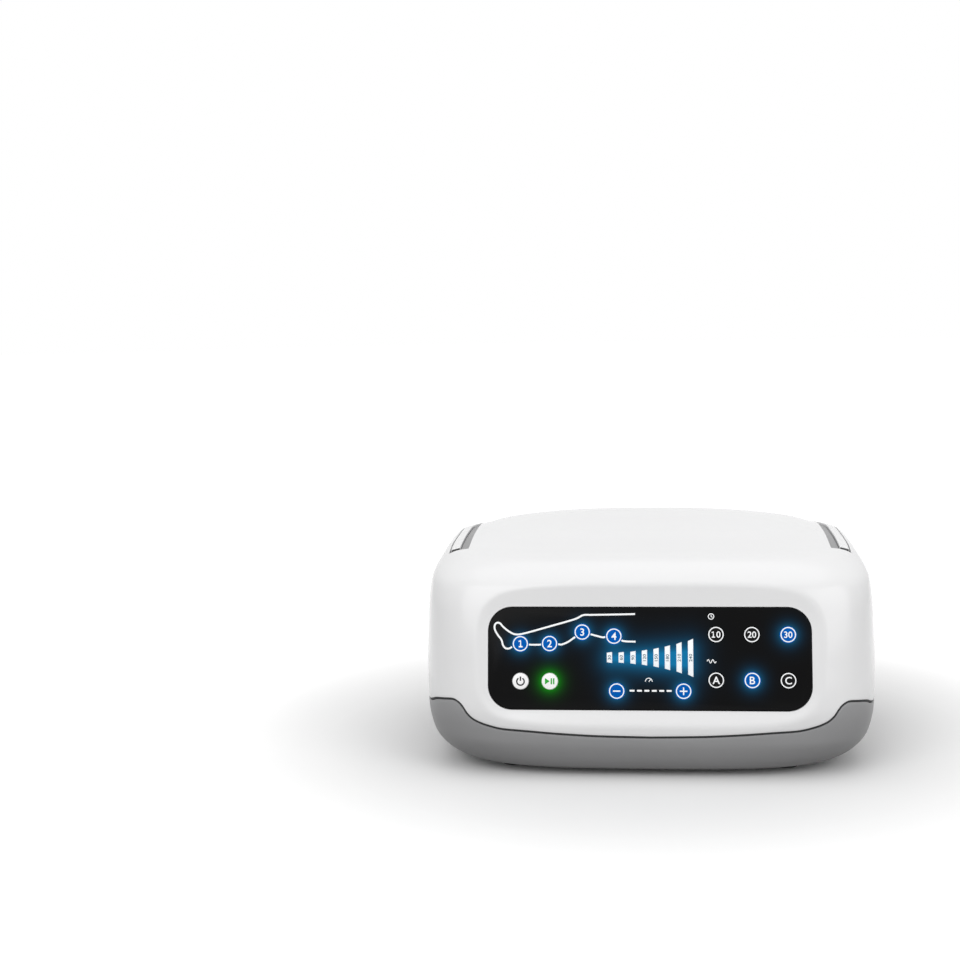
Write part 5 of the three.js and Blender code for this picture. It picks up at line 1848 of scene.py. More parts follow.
KEYS: tuple[KeyPlan, ...] = (
    KeyPlan("chamber_1", -72.294, 8.067, "1", Slot.KEY_BLUE),
    KeyPlan("chamber_2", -55.736, 8.211, "2", Slot.KEY_BLUE),
    KeyPlan("chamber_3", -37.278, 14.722, "3", Slot.KEY_BLUE),
    KeyPlan("chamber_4", -19.453, 12.446, "4", Slot.KEY_BLUE),
    KeyPlan("power", -72.203, -12.964, "power", Slot.KEY_WHITE),
    KeyPlan("play_pause", -55.645, -12.964, "play", Slot.KEY_WHITE),
    KeyPlan("pressure_down", -18.006, -18.266, "minus", Slot.KEY_BLUE),
    KeyPlan("pressure_up", 19.363, -18.150, "plus", Slot.KEY_BLUE),
    KeyPlan("time_10", 37.640, 13.541, "10", Slot.KEY_BLACK),
    KeyPlan("time_20", 57.545, 13.541, "20", Slot.KEY_BLACK),
    KeyPlan("time_30", 77.632, 13.541, "30", Slot.KEY_BLUE),
    KeyPlan("mode_a", 37.549, -11.956, "A", Slot.KEY_BLACK),
    KeyPlan("mode_b", 57.545, -11.956, "B", Slot.KEY_BLUE),
    KeyPlan("mode_c", 77.451, -11.956, "C", Slot.KEY_BLACK),
)


BarPlan = tuple[float, float, str]


@dataclass(frozen=True)
class ControlPanel:
    """The black panel, its light guide, its printed lines and its fourteen keys."""

    place: PanelPlace
    thickness: float = 3.0
    rim: float = 0.35
    key_radius: float = 4.5
    hole_radius: float = 4.8
    key_front: float = 0.2
    key_edge: float = 0.25
    key_bend: float = 0.07
    flange: Point3 = (5.6, -4.5, -3.3)
    ink: float = 0.05
    line_width: float = 1.0
    ring_radius: float = 3.98
    ring_width: float = 0.6
    bar_width: float = 3.0
    bar_lift: float = 0.5
    bar_gap: float = 0.06
    bar_front: float = -0.1
    bar_edge: float = 0.18
    guide_gap: float = 0.3
    guide_thickness: float = 1.5
    guide_side: float = 3.1
    guide_ends: Point2 = (1.6, 2.2)
    number_height: float = 1.8
    single_height: float = 4.2
    pair_height: float = 3.6
    bars: tuple[BarPlan, ...] = (
        (-21.987, 2.881, "30"), (-15.382, 2.939, "60"), (-8.777, 3.457, "90"), (-2.352, 4.149, "120"),
        (4.162, 5.157, "150"), (10.496, 6.540, "180"), (17.010, 8.211, "210"), (23.434, 10.055, "240"),
    )
    bar_taper: float = 0.07
    top_line: tuple[Point2, ...] = (
        (-7.5, 24.9), (-20.0, 24.6), (-31.8, 24.4), (-36.8, 24.2), (-41.7, 21.9), (-56.6, 17.6),
        (-70.0, 13.9), (-74.8, 13.3), (-78.2, 14.6), (-81.9, 17.4), (-83.7, 19.4), (-85.3, 19.9),
        (-86.7, 18.9), (-86.9, 16.4), (-85.3, 13.2), (-83.1, 10.3), (-82.2, 7.4), (-80.9, 5.6),
        (-78.9, 5.3), (-77.0, 6.2),
    )
    links: tuple[tuple[str, tuple[Point2, ...], str], ...] = (
        ("chamber_1", ((-66.0, 7.5), (-62.0, 7.5)), "chamber_2"),
        ("chamber_2", ((-48.8, 7.7), (-45.6, 9.0), (-43.3, 10.5)), "chamber_3"),
        ("chamber_3", ((-29.5, 12.7), (-26.0, 11.8)), "chamber_4"),
        ("chamber_4", ((-14.4, 9.8), (-12.0, 9.5), (-7.3, 9.4)), ""),
    )
    link_gap: float = 0.06
    dash_ends: Point2 = (-10.8, 12.7)
    dash_count: int = 6
    dash_size: Point2 = (2.8, 1.0)
    dash_up: float = -18.0

    def laid(
        self, obj: Object, across: float = 0.0, up: float = 0.0, out: float = 0.0
    ) -> Object:
        """Moves a piece made on the plane z = 0 to its place on the panel."""
        obj.data.transform(self.place.matrix @ Matrix.Translation(Vector((across, up, out)) * MM))
        return obj

    def build(self, dresser: "Dresser") -> None:
        """Makes and dresses the panel, the light guide, the prints and the keys.

        Args:
            dresser: Gives the pieces their finishes, bodies and nodes.
        """
        dresser.dress(self.plate(), Slot.PANEL, "housing", "control_panel")
        dresser.dress(self.guide(), Slot.GUIDE, "housing", "pressure_light_guide")
        dresser.dress(self.bar_numbers(), Slot.KEY_BLACK, "housing", ink="dark")
        dresser.dress(self.outline_print(), Slot.KEY_WHITE, "housing", ink="white")
        dresser.dress(self.group_signs(), Slot.KEY_WHITE, "housing", ink="white")
        for key in KEYS:
            dresser.dress(self.cap(key), key.slot, key.name, f"key_{key.name}")
            ink = {"power": "black", "play": "green"}.get(key.mark, "white")
            dresser.dress(self.mark(key), Slot.KEY_WHITE, key.name, ink=ink)

    def bar(self, name: str, plan: BarPlan, growth: float, low: float, high: float) -> Object:
        """One upright pressure bar, whose ends slope with the row.

        Args:
            name: The piece's name.
            plan: The bar's place and size.
            growth: How far each side stands outside the plan.
            low: Height of its back face.
            high: Height of its front face.

        Returns:
            The bar.
        """
        across, half, _ = plan
        half_width, half = self.bar_width / 2 + growth, half + growth
        slope = self.bar_taper * plan[1]
        middle = self.bar_lift
        outline = [
            (across - half_width, middle - half + slope), (across + half_width, middle - half - slope),
            (across + half_width, middle + half + slope), (across - half_width, middle + half - slope),
        ]
        return Mesh.prism(name, outline, low, high)

    def plate(self) -> Object:
        """Makes the panel plate with its key holes and bar windows.

        Returns:
            The plate.
        """
        half_w, half_h = self.place.half_width, self.place.half_height
        plate = Mesh.plate(
            "control_panel_glass", (-half_w, -half_h, -self.thickness), (half_w, half_h, 0.0), Axis.Z,
            self.place.corner, self.rim, segments=16,
        )
        low = -self.thickness - CUT
        cuts = [
            Mesh.rod("hole", Axis.Z, self.hole_radius, (key.across, key.up), low, CUT, 40)
            for key in KEYS
        ]
        cuts += [self.bar("window", plan, self.bar_gap, low, CUT) for plan in self.bars]
        Mesh.combine(plate, Mesh.merged("cuts", cuts))
        return self.laid(plate)

    def guide(self) -> Object:
        """Makes the light guide: eight bars with softened edges on one backing plate.

        Returns:
            The light guide.
        """
        back, middle = -self.thickness - self.guide_gap, self.bar_lift
        left, right = self.bars[0][0] - self.guide_side, self.bars[-1][0] + self.guide_side
        low, high = self.bars[0][1] + self.guide_ends[0], self.bars[-1][1] + self.guide_ends[1]
        outline = [(left, middle - low), (right, middle - high), (right, middle + high), (left, middle + low)]
        guide = Mesh.prism("pressure_light_bars", outline, back - self.guide_thickness, back)
        top = self.bar_front - NEAR
        for plan in self.bars:
            bar = self.bar("bar", plan, 0.0, back - CUT, self.bar_front)
            Mesh.bevel(bar, lambda middle, way: middle[2] > top, self.bar_edge, 2)
            Mesh.combine(guide, bar, "UNION")
        return self.laid(guide)

    def bar_numbers(self) -> Object:
        """Makes the small numbers on the bars, which read upwards.

        Returns:
            The numbers as one object.
        """
        numbers = []
        for across, _, text in self.bars:
            number = Mesh.lettering("number", text, self.number_height, self.ink)
            place = Matrix.Translation(Vector((across, self.bar_lift, self.bar_front)) * MM)
            turn = Matrix.Rotation(math.pi / 2, 4, "Z")
            number.data.transform(place @ turn @ Matrix.Diagonal((1.2, 1, 1, 1)))
            numbers.append(number)
        return self.laid(Mesh.merged("pressure_numbers", numbers))

    def beside_key(self, name: str, towards: Point2) -> Point2:
        """The place just outside a key's hole, on the way to a point.

        Args:
            name: The key's name.
            towards: The point (x, y) that a line comes from.

        Returns:
            The place (x, y).
        """
        key = next(key for key in KEYS if key.name == name)
        way = np.array(towards) - (key.across, key.up)
        spot = way / np.linalg.norm(way) * (self.hole_radius + self.link_gap)
        return float(key.across + spot[0]), float(key.up + spot[1])

    def outline_print(self) -> Object:
        """Makes the printed outline that links the chamber keys, and the dashes.

        Returns:
            The print as one object.
        """
        lines = [Mesh.line_print("line", flowing(self.top_line), self.line_width, self.ink)]
        for start, middle, end in self.links:
            points = [self.beside_key(start, middle[0]), *middle]
            if end:
                points.append(self.beside_key(end, middle[-1]))
            lines.append(Mesh.line_print("line", flowing(points), self.line_width, self.ink))
        pitch = (self.dash_ends[1] - self.dash_ends[0] - self.dash_size[0]) / (self.dash_count - 1)
        wide, tall = self.dash_size
        for i in range(self.dash_count):
            left = self.dash_ends[0] + i * pitch
            low = (left, self.dash_up - tall / 2, -self.ink)
            high = (left + wide, self.dash_up + tall / 2, self.ink)
            lines.append(Mesh.plate("dash", low, high, Axis.Z, tall * 0.3, segments=3))
        return self.laid(Mesh.merged("panel_lines", lines))

    def group_signs(self) -> Object:
        """Makes three plain signs over the key groups: a clock, a wave and a gauge.

        Returns:
            The signs as one object.
        """
        width = 0.45
        clock = [
            Mesh.line_print("ring", arc((35.0, 23.6), 1.55, 0, 345), width, self.ink, True),
            Mesh.line_print("hand", [(35.0, 24.7), (35.0, 23.6), (35.85, 23.1)], width, self.ink),
        ]
        wave = [(32.6 + 0.25 * k, -1.4 + 0.95 * math.sin(k * math.pi / 5)) for k in range(21)]
        gauge = [
            Mesh.line_print("dial", arc((0.0, -12.9), 1.9, 0, 180), width, self.ink),
            Mesh.line_print("needle", [(0.0, -12.9), (1.05, -11.7)], width, self.ink),
        ]
        signs = [*clock, Mesh.line_print("wave", wave, width, self.ink), *gauge]
        return self.laid(Mesh.merged("panel_signs", signs))

    def cap(self, key: KeyPlan) -> Object:
        """Makes one key cap with its flange and softened front edge.

        Args:
            key: The key.

        Returns:
            The cap.
        """
        radius, front, edge, bend = self.key_radius, self.key_front, self.key_edge, self.key_bend
        wide, low, high = self.flange
        cap = Mesh.turned(f"key_{key.name}_cap", [
            (0, low), (wide, low), (wide, high), (radius, high), (radius, front - edge),
            (radius - bend, front - bend), (radius - edge, front), (0, front),
        ], 56)
        return self.laid(cap, key.across, key.up)

    def one(self, middle: float, height: float) -> list[Object]:
        """A figure one with a flag and a foot.

        Args:
            middle: Its middle, across.
            height: Its height.

        Returns:
            Its strokes.
        """
        width, stem, reach = height * 0.18, middle + height * 0.04, height * 0.26
        low, high = -height / 2 + width / 2, height / 2
        flag = [(stem - reach, high - height * 0.22), (stem, high - width / 2), (stem, low)]
        foot = [(stem - reach, low), (stem + reach, low)]
        return [Mesh.line_print("stroke", line, width, self.ink) for line in (flag, foot)]

    def stroke(self, low: Point2, high: Point2, corner: float = 0.15) -> Object:
        """One straight printed stroke between two corners."""
        return Mesh.plate("stroke", (*low, -self.ink), (*high, self.ink), Axis.Z, corner, segments=2)

    def mark(self, key: KeyPlan) -> Object:
        """Makes the ring and the character on a key.

        Args:
            key: The key.

        Returns:
            The mark as one object.
        """
        name = f"key_{key.name}_mark"
        pieces = []
        if key.slot is not Slot.KEY_WHITE:
            circle = arc((0, 0), self.ring_radius, 0, 354, 59)
            pieces.append(Mesh.line_print("ring", circle, self.ring_width, self.ink, True))
        if key.mark in ("minus", "plus"):
            pieces.append(self.stroke((-2.1, -0.36), (2.1, 0.36)))
            if key.mark == "plus":
                pieces.append(self.stroke((-0.36, -2.1), (0.36, 2.1)))
        elif key.mark == "power":
            pieces.append(Mesh.line_print("arc", arc((0, -0.2), 2.1, 122, 418, 40), 0.85, self.ink))
            pieces.append(self.stroke((-0.42, 0.1), (0.42, 2.6)))
        elif key.mark == "play":
            triangle = filleted([(-2.7, -1.8, 0.12), (0.0, 0.0, 0.12), (-2.7, 1.8, 0.12)], 1.0)
            pieces.append(Mesh.prism("triangle", triangle, -self.ink, self.ink))
            for left in (0.5, 1.85):
                pieces.append(self.stroke((left, -1.7), (left + 0.8, 1.7), 0.1))
        elif key.mark == "1":
            pieces += self.one(0.0, self.single_height)
        elif key.mark == "10":
            zero = Mesh.lettering("character", "0", self.pair_height, self.ink)
            zero.data.transform(Matrix.Translation((1.35 * MM, 0, 0)))
            pieces += [*self.one(-1.6, self.pair_height), zero]
        else:
            height = self.single_height if len(key.mark) == 1 else self.pair_height
            pieces.append(Mesh.lettering("character", key.mark, height, self.ink))
        return self.laid(Mesh.merged(name, pieces), key.across, key.up, self.key_front)


@dataclass(frozen=True)
class BackFittings:
    """The two air sockets and the mains socket in the back."""

    outlet_x: float = 35.1
    outlet_low: Point3 = (-25.0, 80.694, 62.02)
    outlet_high: Point3 = (25.0, 98.694, 82.02)
    outlet_wall: float = 3.0
    outlet_floor: float = 84.694
    spigot_pitch: float = 10.5
    inlet_low: Point3 = (31.2, 80.099, 18.495)
    inlet_high: Point3 = (57.2, 97.099, 34.495)
    inlet_wall: float = 3.5
    inlet_floor: float = 85.099
    pin_pitch: float = 8.6
    pin_radius: float = 1.2
    pin_length: float = 6.0

    def build(self, dresser: "Dresser") -> None:
        """Makes and dresses the air sockets and the mains socket.

        Args:
            dresser: Gives the pieces their finishes, bodies and nodes.
        """
        outlet = self.outlet()
        for side, name in ((-1, "air_outlet_left"), (1, "air_outlet_right")):
            socket = Mesh.copied(outlet, f"{name}_socket", (side * self.outlet_x, 0, 0))
            dresser.dress(socket, Slot.PLASTIC, "housing", name)
        bpy.data.objects.remove(outlet)
        dresser.dress(self.inlet(), Slot.PLASTIC, "housing", "mains_inlet")

    @staticmethod
    def pocketed(
        name: str, low: Point3, high: Point3, wall: float, floor: float, corner: float
    ) -> Object:
        """A block with a pocket that opens to the back.

        Args:
            name: The piece's name.
            low: Its lowest corner.
            high: Its highest corner.
            wall: Thickness of its walls.
            floor: Where the pocket's floor lies, along Y.
            corner: Radius of its corners.

        Returns:
            The new object.
        """
        body = Mesh.plate(name, low, high, Axis.Y, 2.0, 0.4, segments=6)
        low, high = (low[0] + wall, floor, low[2] + wall), (high[0] - wall, high[1] + CUT, high[2] - wall)
        Mesh.combine(body, Mesh.plate("pocket", low, high, Axis.Y, corner, segments=6))
        return body

    def spigot(self) -> Object:
        """One barbed air spigot standing on its end.

        Returns:
            The spigot.
        """
        spigot = Mesh.turned("spigot", [
            (0, -CUT), (2.2, -CUT), (2.2, 2.4), (2.55, 2.8), (2.0, 4.1), (2.45, 4.5), (1.85, 6.1),
            (1.6, 6.5), (1.2, 6.5), (1.2, 1.0), (0, 1.0),
        ], 28)
        spigot.data.transform(Matrix.Rotation(-math.pi / 2, 4, "X"))
        return spigot

    def outlet(self) -> Object:
        """Makes one air socket, centred across the pump.

        Returns:
            The socket.
        """
        low, high = self.outlet_low, self.outlet_high
        body = self.pocketed("air_outlet_socket", low, high, self.outlet_wall, self.outlet_floor, 1.4)
        spigot = self.spigot()
        z = (low[2] + high[2]) / 2
        for place in (-1.5, -0.5, 0.5, 1.5):
            copy = Mesh.copied(spigot, "spigot", (place * self.spigot_pitch, self.outlet_floor, z))
            Mesh.combine(body, copy, "UNION")
        bpy.data.objects.remove(spigot)
        return body

    def inlet(self) -> Object:
        """Makes the mains socket with its two pins.

        Returns:
            The socket.
        """
        near, far = self.inlet_low, self.inlet_high
        body = self.pocketed("mains_socket", near, far, self.inlet_wall, self.inlet_floor, 4.2)
        x, z = (near[0] + far[0]) / 2, (near[2] + far[2]) / 2
        low, high = self.inlet_floor - CUT, self.inlet_floor + self.pin_length
        for side in (-1, 1):
            spot = (x + side * self.pin_pitch / 2, z)
            pin = Mesh.rod("pin", Axis.Y, self.pin_radius, spot, low, high, 24)
            Mesh.bevel(pin, lambda middle, way: middle[1] > high - NEAR, 0.5, 3)
            Mesh.combine(body, pin, "UNION")
        return body


@dataclass(frozen=True)
class Underside:
    """The rubber feet and the case screws that sit in them."""

    places: tuple[tuple[str, Point2], ...] = (
        ("front_left", (-78.0, -62.0)), ("front_right", (78.0, -62.0)),
        ("rear_left", (-78.0, 62.0)), ("rear_right", (78.0, 62.0)),
    )
    top: float = 3.7
    seat: float = 9.7
    thread_start: float = 34.6
    thread_end: float = 43.6
    pitch: float = 1.0

    def build(self, dresser: "Dresser") -> None:
        """Makes and dresses the feet and the case screws.

        Args:
            dresser: Gives the pieces their finishes, bodies and nodes.
        """
        foot, screw = self.foot(), self.screw()
        for name, (x, y) in self.places:
            pad = Mesh.copied(foot, f"foot_{name}_pad", (x, y, 0))
            dresser.dress(pad, Slot.RUBBER, "housing", f"foot_{name}")
            cut = Mesh.copied(screw, f"case_screw_{name}_cut", (x, y, 0))
            dresser.dress(cut, Slot.STEEL, "housing", f"case_screw_{name}")
        for pattern in (foot, screw):
            bpy.data.objects.remove(pattern)

    def foot(self) -> Object:
        """One round foot with a grip ring in its sole.

        Returns:
            The foot.
        """
        return Mesh.turned("foot", [
            (3.8, self.top), (3.8, 0.5), (3.95, 0.12), (4.3, 0.0), (5.2, 0.0), (5.35, 0.35), (5.75, 0.35),
            (5.9, 0.0), (6.9, 0.0), (7.6, 0.2), (7.92, 0.55), (8.0, 0.95), (8.0, self.top),
        ])

    def screw(self) -> Object:
        """One case screw, head down, with a cross recess and a cut thread.

        Returns:
            The screw.
        """
        profile: list[Point2] = [
            (0, 7.3), (2.2, 7.3), (2.8, 7.5), (3.1, 8.0), (3.1, self.seat), (1.5, self.seat),
            (1.5, self.thread_start),
        ]
        place = self.thread_start
        while place + self.pitch <= self.thread_end:
            profile += [(1.15, place + self.pitch * 0.4), (1.5, place + self.pitch)]
            place += self.pitch
        screw = Mesh.turned("screw", [*profile, (0.5, 44.0), (0, 44.0)], 24)
        for x, y in ((1.7, 0.35), (0.35, 1.7)):
            Mesh.combine(screw, Mesh.block("slot", (-x, -y, 7.0), (x, y, 8.7)))
        return screw


@dataclass(frozen=True)
class AirHoses:
    """The clear hoses inside, which replace plain packed ones."""

    radius: float = 2.9
    supply: tuple[tuple[str, tuple[Point3, ...]], ...] = (
        ("supply_hose_front", (
            (48.19, -10.15, 58.4), (48.19, -10.15, 62.4), (41.69, 5.68, 76.1), (20.01, 35.76, 78.1),
            (1.59, 57.92, 70.1), (-6.0, 69.0, 46.3), (-6.0, 69.0, 42.3),
        )),
        ("supply_hose_rear", (
            (48.19, 46.15, 58.4), (48.19, 46.15, 62.4), (38.06, 52.55, 69.1), (20.34, 59.86, 68.1),
            (8.95, 66.26, 62.1), (6.0, 69.0, 46.3), (6.0, 69.0, 42.3),
        )),
    )
    outlet_x: float = 35.1
    outlet: tuple[Point2, ...] = ((69.0, 62.29), (69.0, 64.69), (72.3, 69.55), (77.99, 72.02), (80.39, 72.02))
    core_radius: float = 2.3
    core_pitch: float = 4.9

    def build(self, dresser: "Dresser") -> None:
        """Makes and dresses the hoses.

        Args:
            dresser: Gives the pieces their finishes, bodies and nodes.
        """
        for name, points in self.supply:
            dresser.dress(self.supply_hose(name, points), Slot.HOSE, "housing", name)
        for side, name in ((-1, "outlet_hose_left"), (1, "outlet_hose_right")):
            dresser.dress(self.outlet_hose(side), Slot.HOSE, "housing", name)

    @staticmethod
    def smooth(points: Sequence[Point3], steps: int = 7) -> list[Point3]:
        """Points of a smooth line in space through the given ones.

        Args:
            points: Points that the line passes through.
            steps: Points per stretch.

        Returns:
            The points of the line.
        """
        along = [(point[0], point[1]) for point in points]
        rise = [(float(i), point[2]) for i, point in enumerate(points)]
        return [(x, y, z) for (x, y), (_, z) in zip(flowing(along, steps), flowing(rise, steps))]

    def supply_hose(self, name: str, points: Sequence[Point3]) -> Object:
        """One hose from a pump head to the valve block."""
        return Mesh.tube(f"{name}_tube", self.smooth(points), self.radius)

    def outlet_hose(self, side: int) -> Object:
        """One ribbon of four small hoses from the valves to an air socket.

        Args:
            side: -1 for the left ribbon, 1 for the right one.

        Returns:
            The ribbon.
        """
        name = "outlet_hose_left_ribbon" if side < 0 else "outlet_hose_right_ribbon"
        cores = []
        for place in (-1.5, -0.5, 0.5, 1.5):
            x = side * self.outlet_x + place * self.core_pitch
            line = self.smooth([(x, y, z) for y, z in self.outlet])
            cores.append(Mesh.tube("core", line, self.core_radius))
        return Mesh.merged(name, cores)


# Room and camera


@dataclass(frozen=True)
class Studio:
    """Pale floor, soft lamps and the camera of the photograph."""

    target: Point3 = (0.0, 0.0, 64.0)
    elevation: float = 12.0
    distance: float = 1060.0
    focal_pixels: float = 1711.2
    target_pixel: Point2 = (648.5, 633.0)
    roll: float = -1.03
    picture: float = 960.0
    sensor: float = 36.0
    world_light: float = 0.56
    floor_colour: float = 0.92
    floor_bounce: float = 0.32
    floor_lift: Point2 = (0.0, 0.75)
    lift_reach: Point2 = (0.13, 0.48)
    # Name, place and aim in metres, side in metres, and watts.
    lamps: tuple[tuple[str, Point3, Point3, float, float], ...] = (
        ("top_lamp", (0.0, -0.25, 1.5), (0.0, 0.0, 0.05), 1.5, 4.9),
        ("front_lamp", (-0.9, -1.7, 1.2), (0.0, 0.0, 0.06), 1.4, 13.2),
        ("side_lamp", (1.3, -1.3, 0.9), (0.0, 0.0, 0.06), 1.2, 8.6),
    )

    def camera(self) -> None:
        """Sets the camera so that the target falls on its pixel."""
        rise, roll = math.radians(self.elevation), math.radians(self.roll)
        seen = Vector((self.target_pixel[0] - self.picture / 2, self.picture / 2 - self.target_pixel[1]))
        across, up = Matrix.Rotation(roll, 2) @ seen / self.focal_pixels
        scale = 1 / math.sqrt(1 + across**2 + up**2)
        yaw = math.asin(scale * across / math.cos(rise))
        level = math.cos(rise) * math.cos(yaw)
        pitch = -math.asin(scale * up / math.hypot(level, math.sin(rise))) - math.atan2(math.sin(rise), level)
        data = bpy.data.cameras.new("camera")
        data.sensor_width = self.sensor
        data.lens = self.focal_pixels * self.sensor / self.picture
        data.clip_start, data.clip_end = 0.05, 50.0
        camera = bpy.data.objects.new("camera", data)
        x, y, z = self.target
        away = self.distance * math.cos(rise), self.distance * math.sin(rise)
        camera.location = Vector((x, y - away[0], z + away[1])) * MM
        turn = Matrix.Rotation(yaw, 3, "Z") @ Matrix.Rotation(math.pi / 2 + pitch, 3, "X")
        camera.rotation_euler = (turn @ Matrix.Rotation(roll, 3, "Z")).to_euler()
        bpy.context.scene.collection.objects.link(camera)
        bpy.context.scene.camera = camera
        log.info("camera turned %.3f, %.3f degrees", math.degrees(math.pi / 2 + pitch), math.degrees(yaw))

    @staticmethod
    def seen(sheet: Sheet) -> NodeSocket:
        """One for rays that show the surroundings, and nought for rays that light them.

        Args:
            sheet: The node tree being built.

        Returns:
            The socket that gives the number.
        """
        path = sheet.node("LightPath")
        seen = sheet.sum_up("MAXIMUM", path.outputs["Is Camera Ray"], path.outputs["Is Glossy Ray"])
        return sheet.sum_up("MAXIMUM", seen, path.outputs["Is Transmission Ray"])

    @staticmethod
    def between(sheet: Sheet, share: object, low: object, high: object) -> NodeSocket:
        """Lays a share from nought to one out between two values."""
        return sheet.node("MapRange", {"Value": share, "To Min": low, "To Max": high}).outputs[0]

    def world(self) -> None:
        """Sets an even pale surrounding that shows white."""
        world = bpy.data.worlds.new("studio")
        world.use_nodes = True
        sheet = Sheet(world.node_tree)
        strength = self.between(sheet, self.seen(sheet), self.world_light, 1.0)
        light = sheet.node("Background", {"Color": (1, 1, 1, 1), "Strength": strength})
        sheet.node("OutputWorld", {"Surface": light.outputs[0]})
        bpy.context.scene.world = world

    def floor(self) -> None:
        """Lays a pale floor that keeps the pump's shadow, with painted light that whitens it away from the
        pump.
        """
        Mesh.clear()
        bpy.ops.mesh.primitive_circle_add(vertices=96, radius=6.0, fill_type="NGON")
        floor = Mesh.made("floor")
        made = bpy.data.materials.new("pale_floor")
        made.use_nodes = True
        sheet = Sheet(made.node_tree)
        place = sheet.node("TexCoord").outputs["Object"]
        cloud = sheet.noise(place, 3.0, 3.0)
        pale = self.between(sheet, cloud, self.floor_colour - 0.01, self.floor_colour + 0.01)
        seen = self.seen(sheet)
        tone = self.between(sheet, seen, self.floor_bounce, pale)
        plain = sheet.node("BsdfDiffuse", {"Color": tone})
        # Camera, glossy and transmission rays see the floor glow, from nothing at the pump's edge to strong
        # farther out: painted light that turns the floor white away from the pump.
        away = sheet.node("VectorMath", {0: place}, operation="LENGTH").outputs["Value"]
        (near, far), (low, high) = self.lift_reach, self.floor_lift
        lift = sheet.node(
            "MapRange",
            {"Value": away, "From Min": near, "From Max": far, "To Min": low, "To Max": high},
            interpolation_type="SMOOTHSTEP",
        ).outputs[0]
        strength = sheet.sum_up("MULTIPLY", seen, lift)
        glow = sheet.node("Emission", {"Color": (1, 1, 1, 1), "Strength": strength})
        both = sheet.node("AddShader", {0: plain.outputs[0], 1: glow.outputs[0]})
        sheet.node("OutputMaterial", {"Surface": both.outputs[0]})
        floor.data.materials.append(made)

    @staticmethod
    def lamp(name: str, place: Point3, aim: Point3, size: float, power: float) -> None:
        """Hangs one soft square lamp.

        Args:
            name: The lamp's name.
            place: Where it hangs, in metres.
            aim: What it points at, in metres.
            size: Length of its side, in metres.
            power: Its power in watts.
        """
        data = bpy.data.lights.new(name, "AREA")
        data.shape, data.size, data.energy = "SQUARE", size, power
        lamp = bpy.data.objects.new(name, data)
        lamp.location = place
        lamp.rotation_euler = (Vector(aim) - Vector(place)).to_track_quat("-Z", "Y").to_euler()
        bpy.context.scene.collection.objects.link(lamp)

    def build(self) -> None:
        """Sets up the whole studio."""
        self.camera()
        self.world()
        self.floor()
        for lamp in self.lamps:
            self.lamp(*lamp)
        bpy.context.scene.view_settings.view_transform = "Standard"


# The whole pump


